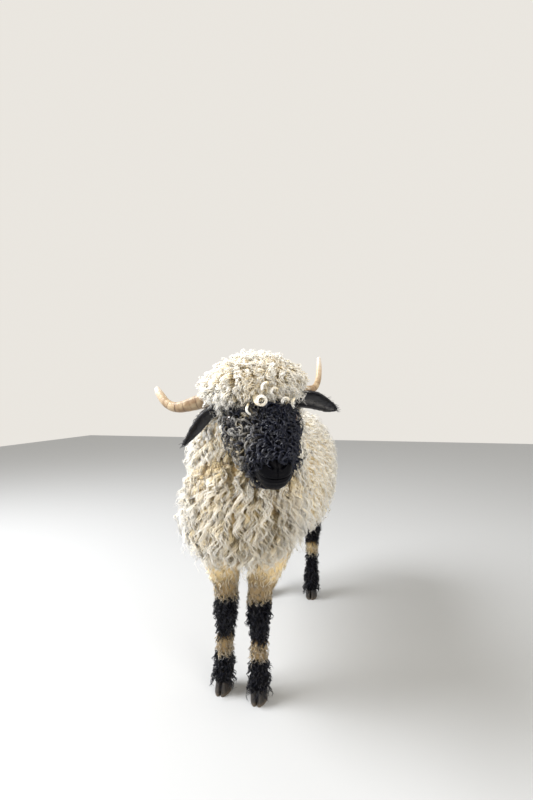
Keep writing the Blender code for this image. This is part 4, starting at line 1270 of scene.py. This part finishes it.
eye_skin, tree, shader = material("eye_skin", Roughness=0.12, Specular_IOR_Level=0.5)
fill(shader, Coat_Weight=1.0, Coat_Roughness=0.03)
streaks = ramp(tree, noise(tree, 900.0, 6.0), 0.3, 0.7)
iris = blend(tree, streaks, linear(28, 17, 10), linear(66, 42, 22))
ball = blend(tree, read(tree, "iris"), linear(22, 17, 15), iris)
ball = blend(tree, read(tree, "pupil"), ball, linear(4, 4, 6))
fill(shader, Base_Color=ball)

hoof_skin, tree, shader = material("hoof_skin", Roughness=0.5, Specular_IOR_Level=0.5)
streaks = ramp(tree, noise(tree, 160.0, 5.0, (1, 1, 0.12)), 0.35, 0.7)
wall = blend(tree, streaks, linear(24, 21, 19), linear(58, 50, 43))
worn = sums(tree, "MULTIPLY", ramp(tree, read(tree, "along"), 0.30, 0.0), noise(tree, 90.0))
fill(shader, Base_Color=blend(tree, worn, wall, linear(120, 106, 88)))
relief(tree, shader, noise(tree, 220.0, 5.0, (1, 1, 3)), 0.001, 0.3)

for group, look, slot in (
    (ears, ear_skin, "black_coat"),
    (horns, horn_skin, "horn"),
    (eyes, eye_skin, "eye"),
    (hooves, hoof_skin, "hoof"),
):
    for thing, node in group:
        thing.data.materials.append(look)
        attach(thing, "root")
        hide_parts(node)

# %% [markdown]
# ## Floor, light and camera
# The light is that of a bright overcast day brought indoors: a big soft panel high on the left of
# the picture, a weaker one on the right, and a pale room round it all.

# %% The stage
CAMERA = (0.334, -1.182, 0.82)
LOOK = Vector((-0.225, 0.974, 0.0))
ground = np.array(((-6, -6, 0), (6, -6, 0), (6, 8, 0), (-6, 8, 0)))
floor = mesh_object("floor", ground, [np.array([[0, 1, 2, 3]])])
pale, _, _ = material("pale_floor", Base_Color=(0.44, 0.45, 0.46, 1), Roughness=0.9)
floor.data.materials.append(pale)

world = bpy.data.worlds.new("room")
world.use_nodes = True
fill(world.node_tree.nodes["Background"], Color=(0.98, 0.945, 0.885, 1), Strength=0.84)
bpy.context.scene.world = world
bpy.context.scene.view_settings.view_transform = "Standard"


def panel(name, place, target, size, power, colour):
    light = bpy.data.lights.new(name, "AREA")
    light.shape = "DISK"
    light.size = size
    light.energy = power
    light.color = colour
    thing = bpy.data.objects.new(name, light)
    thing.location = Vector(place)
    thing.rotation_mode = "QUATERNION"
    thing.rotation_quaternion = (Vector(target) - Vector(place)).to_track_quat("-Z", "Y")
    bpy.context.scene.collection.objects.link(thing)


panel("key", (-2.4, -1.0, 2.8), (0, 0.1, 0.6), 2.4, 245, (0.99, 0.99, 1.0))
panel("fill", (2.4, -2.6, 1.8), (0, 0.0, 0.6), 2.4, 74, (1.0, 0.95, 0.86))

camera = bpy.data.cameras.new("camera")
camera.lens = 20
camera.sensor_width = 36
camera.clip_start = 0.01
eye = bpy.data.objects.new("camera", camera)
eye.location = Vector(CAMERA) + Vector(STEP)
eye.rotation_mode = "QUATERNION"
eye.rotation_quaternion = LOOK.to_track_quat("-Z", "Y")
bpy.context.scene.collection.objects.link(eye)
bpy.context.scene.camera = eye
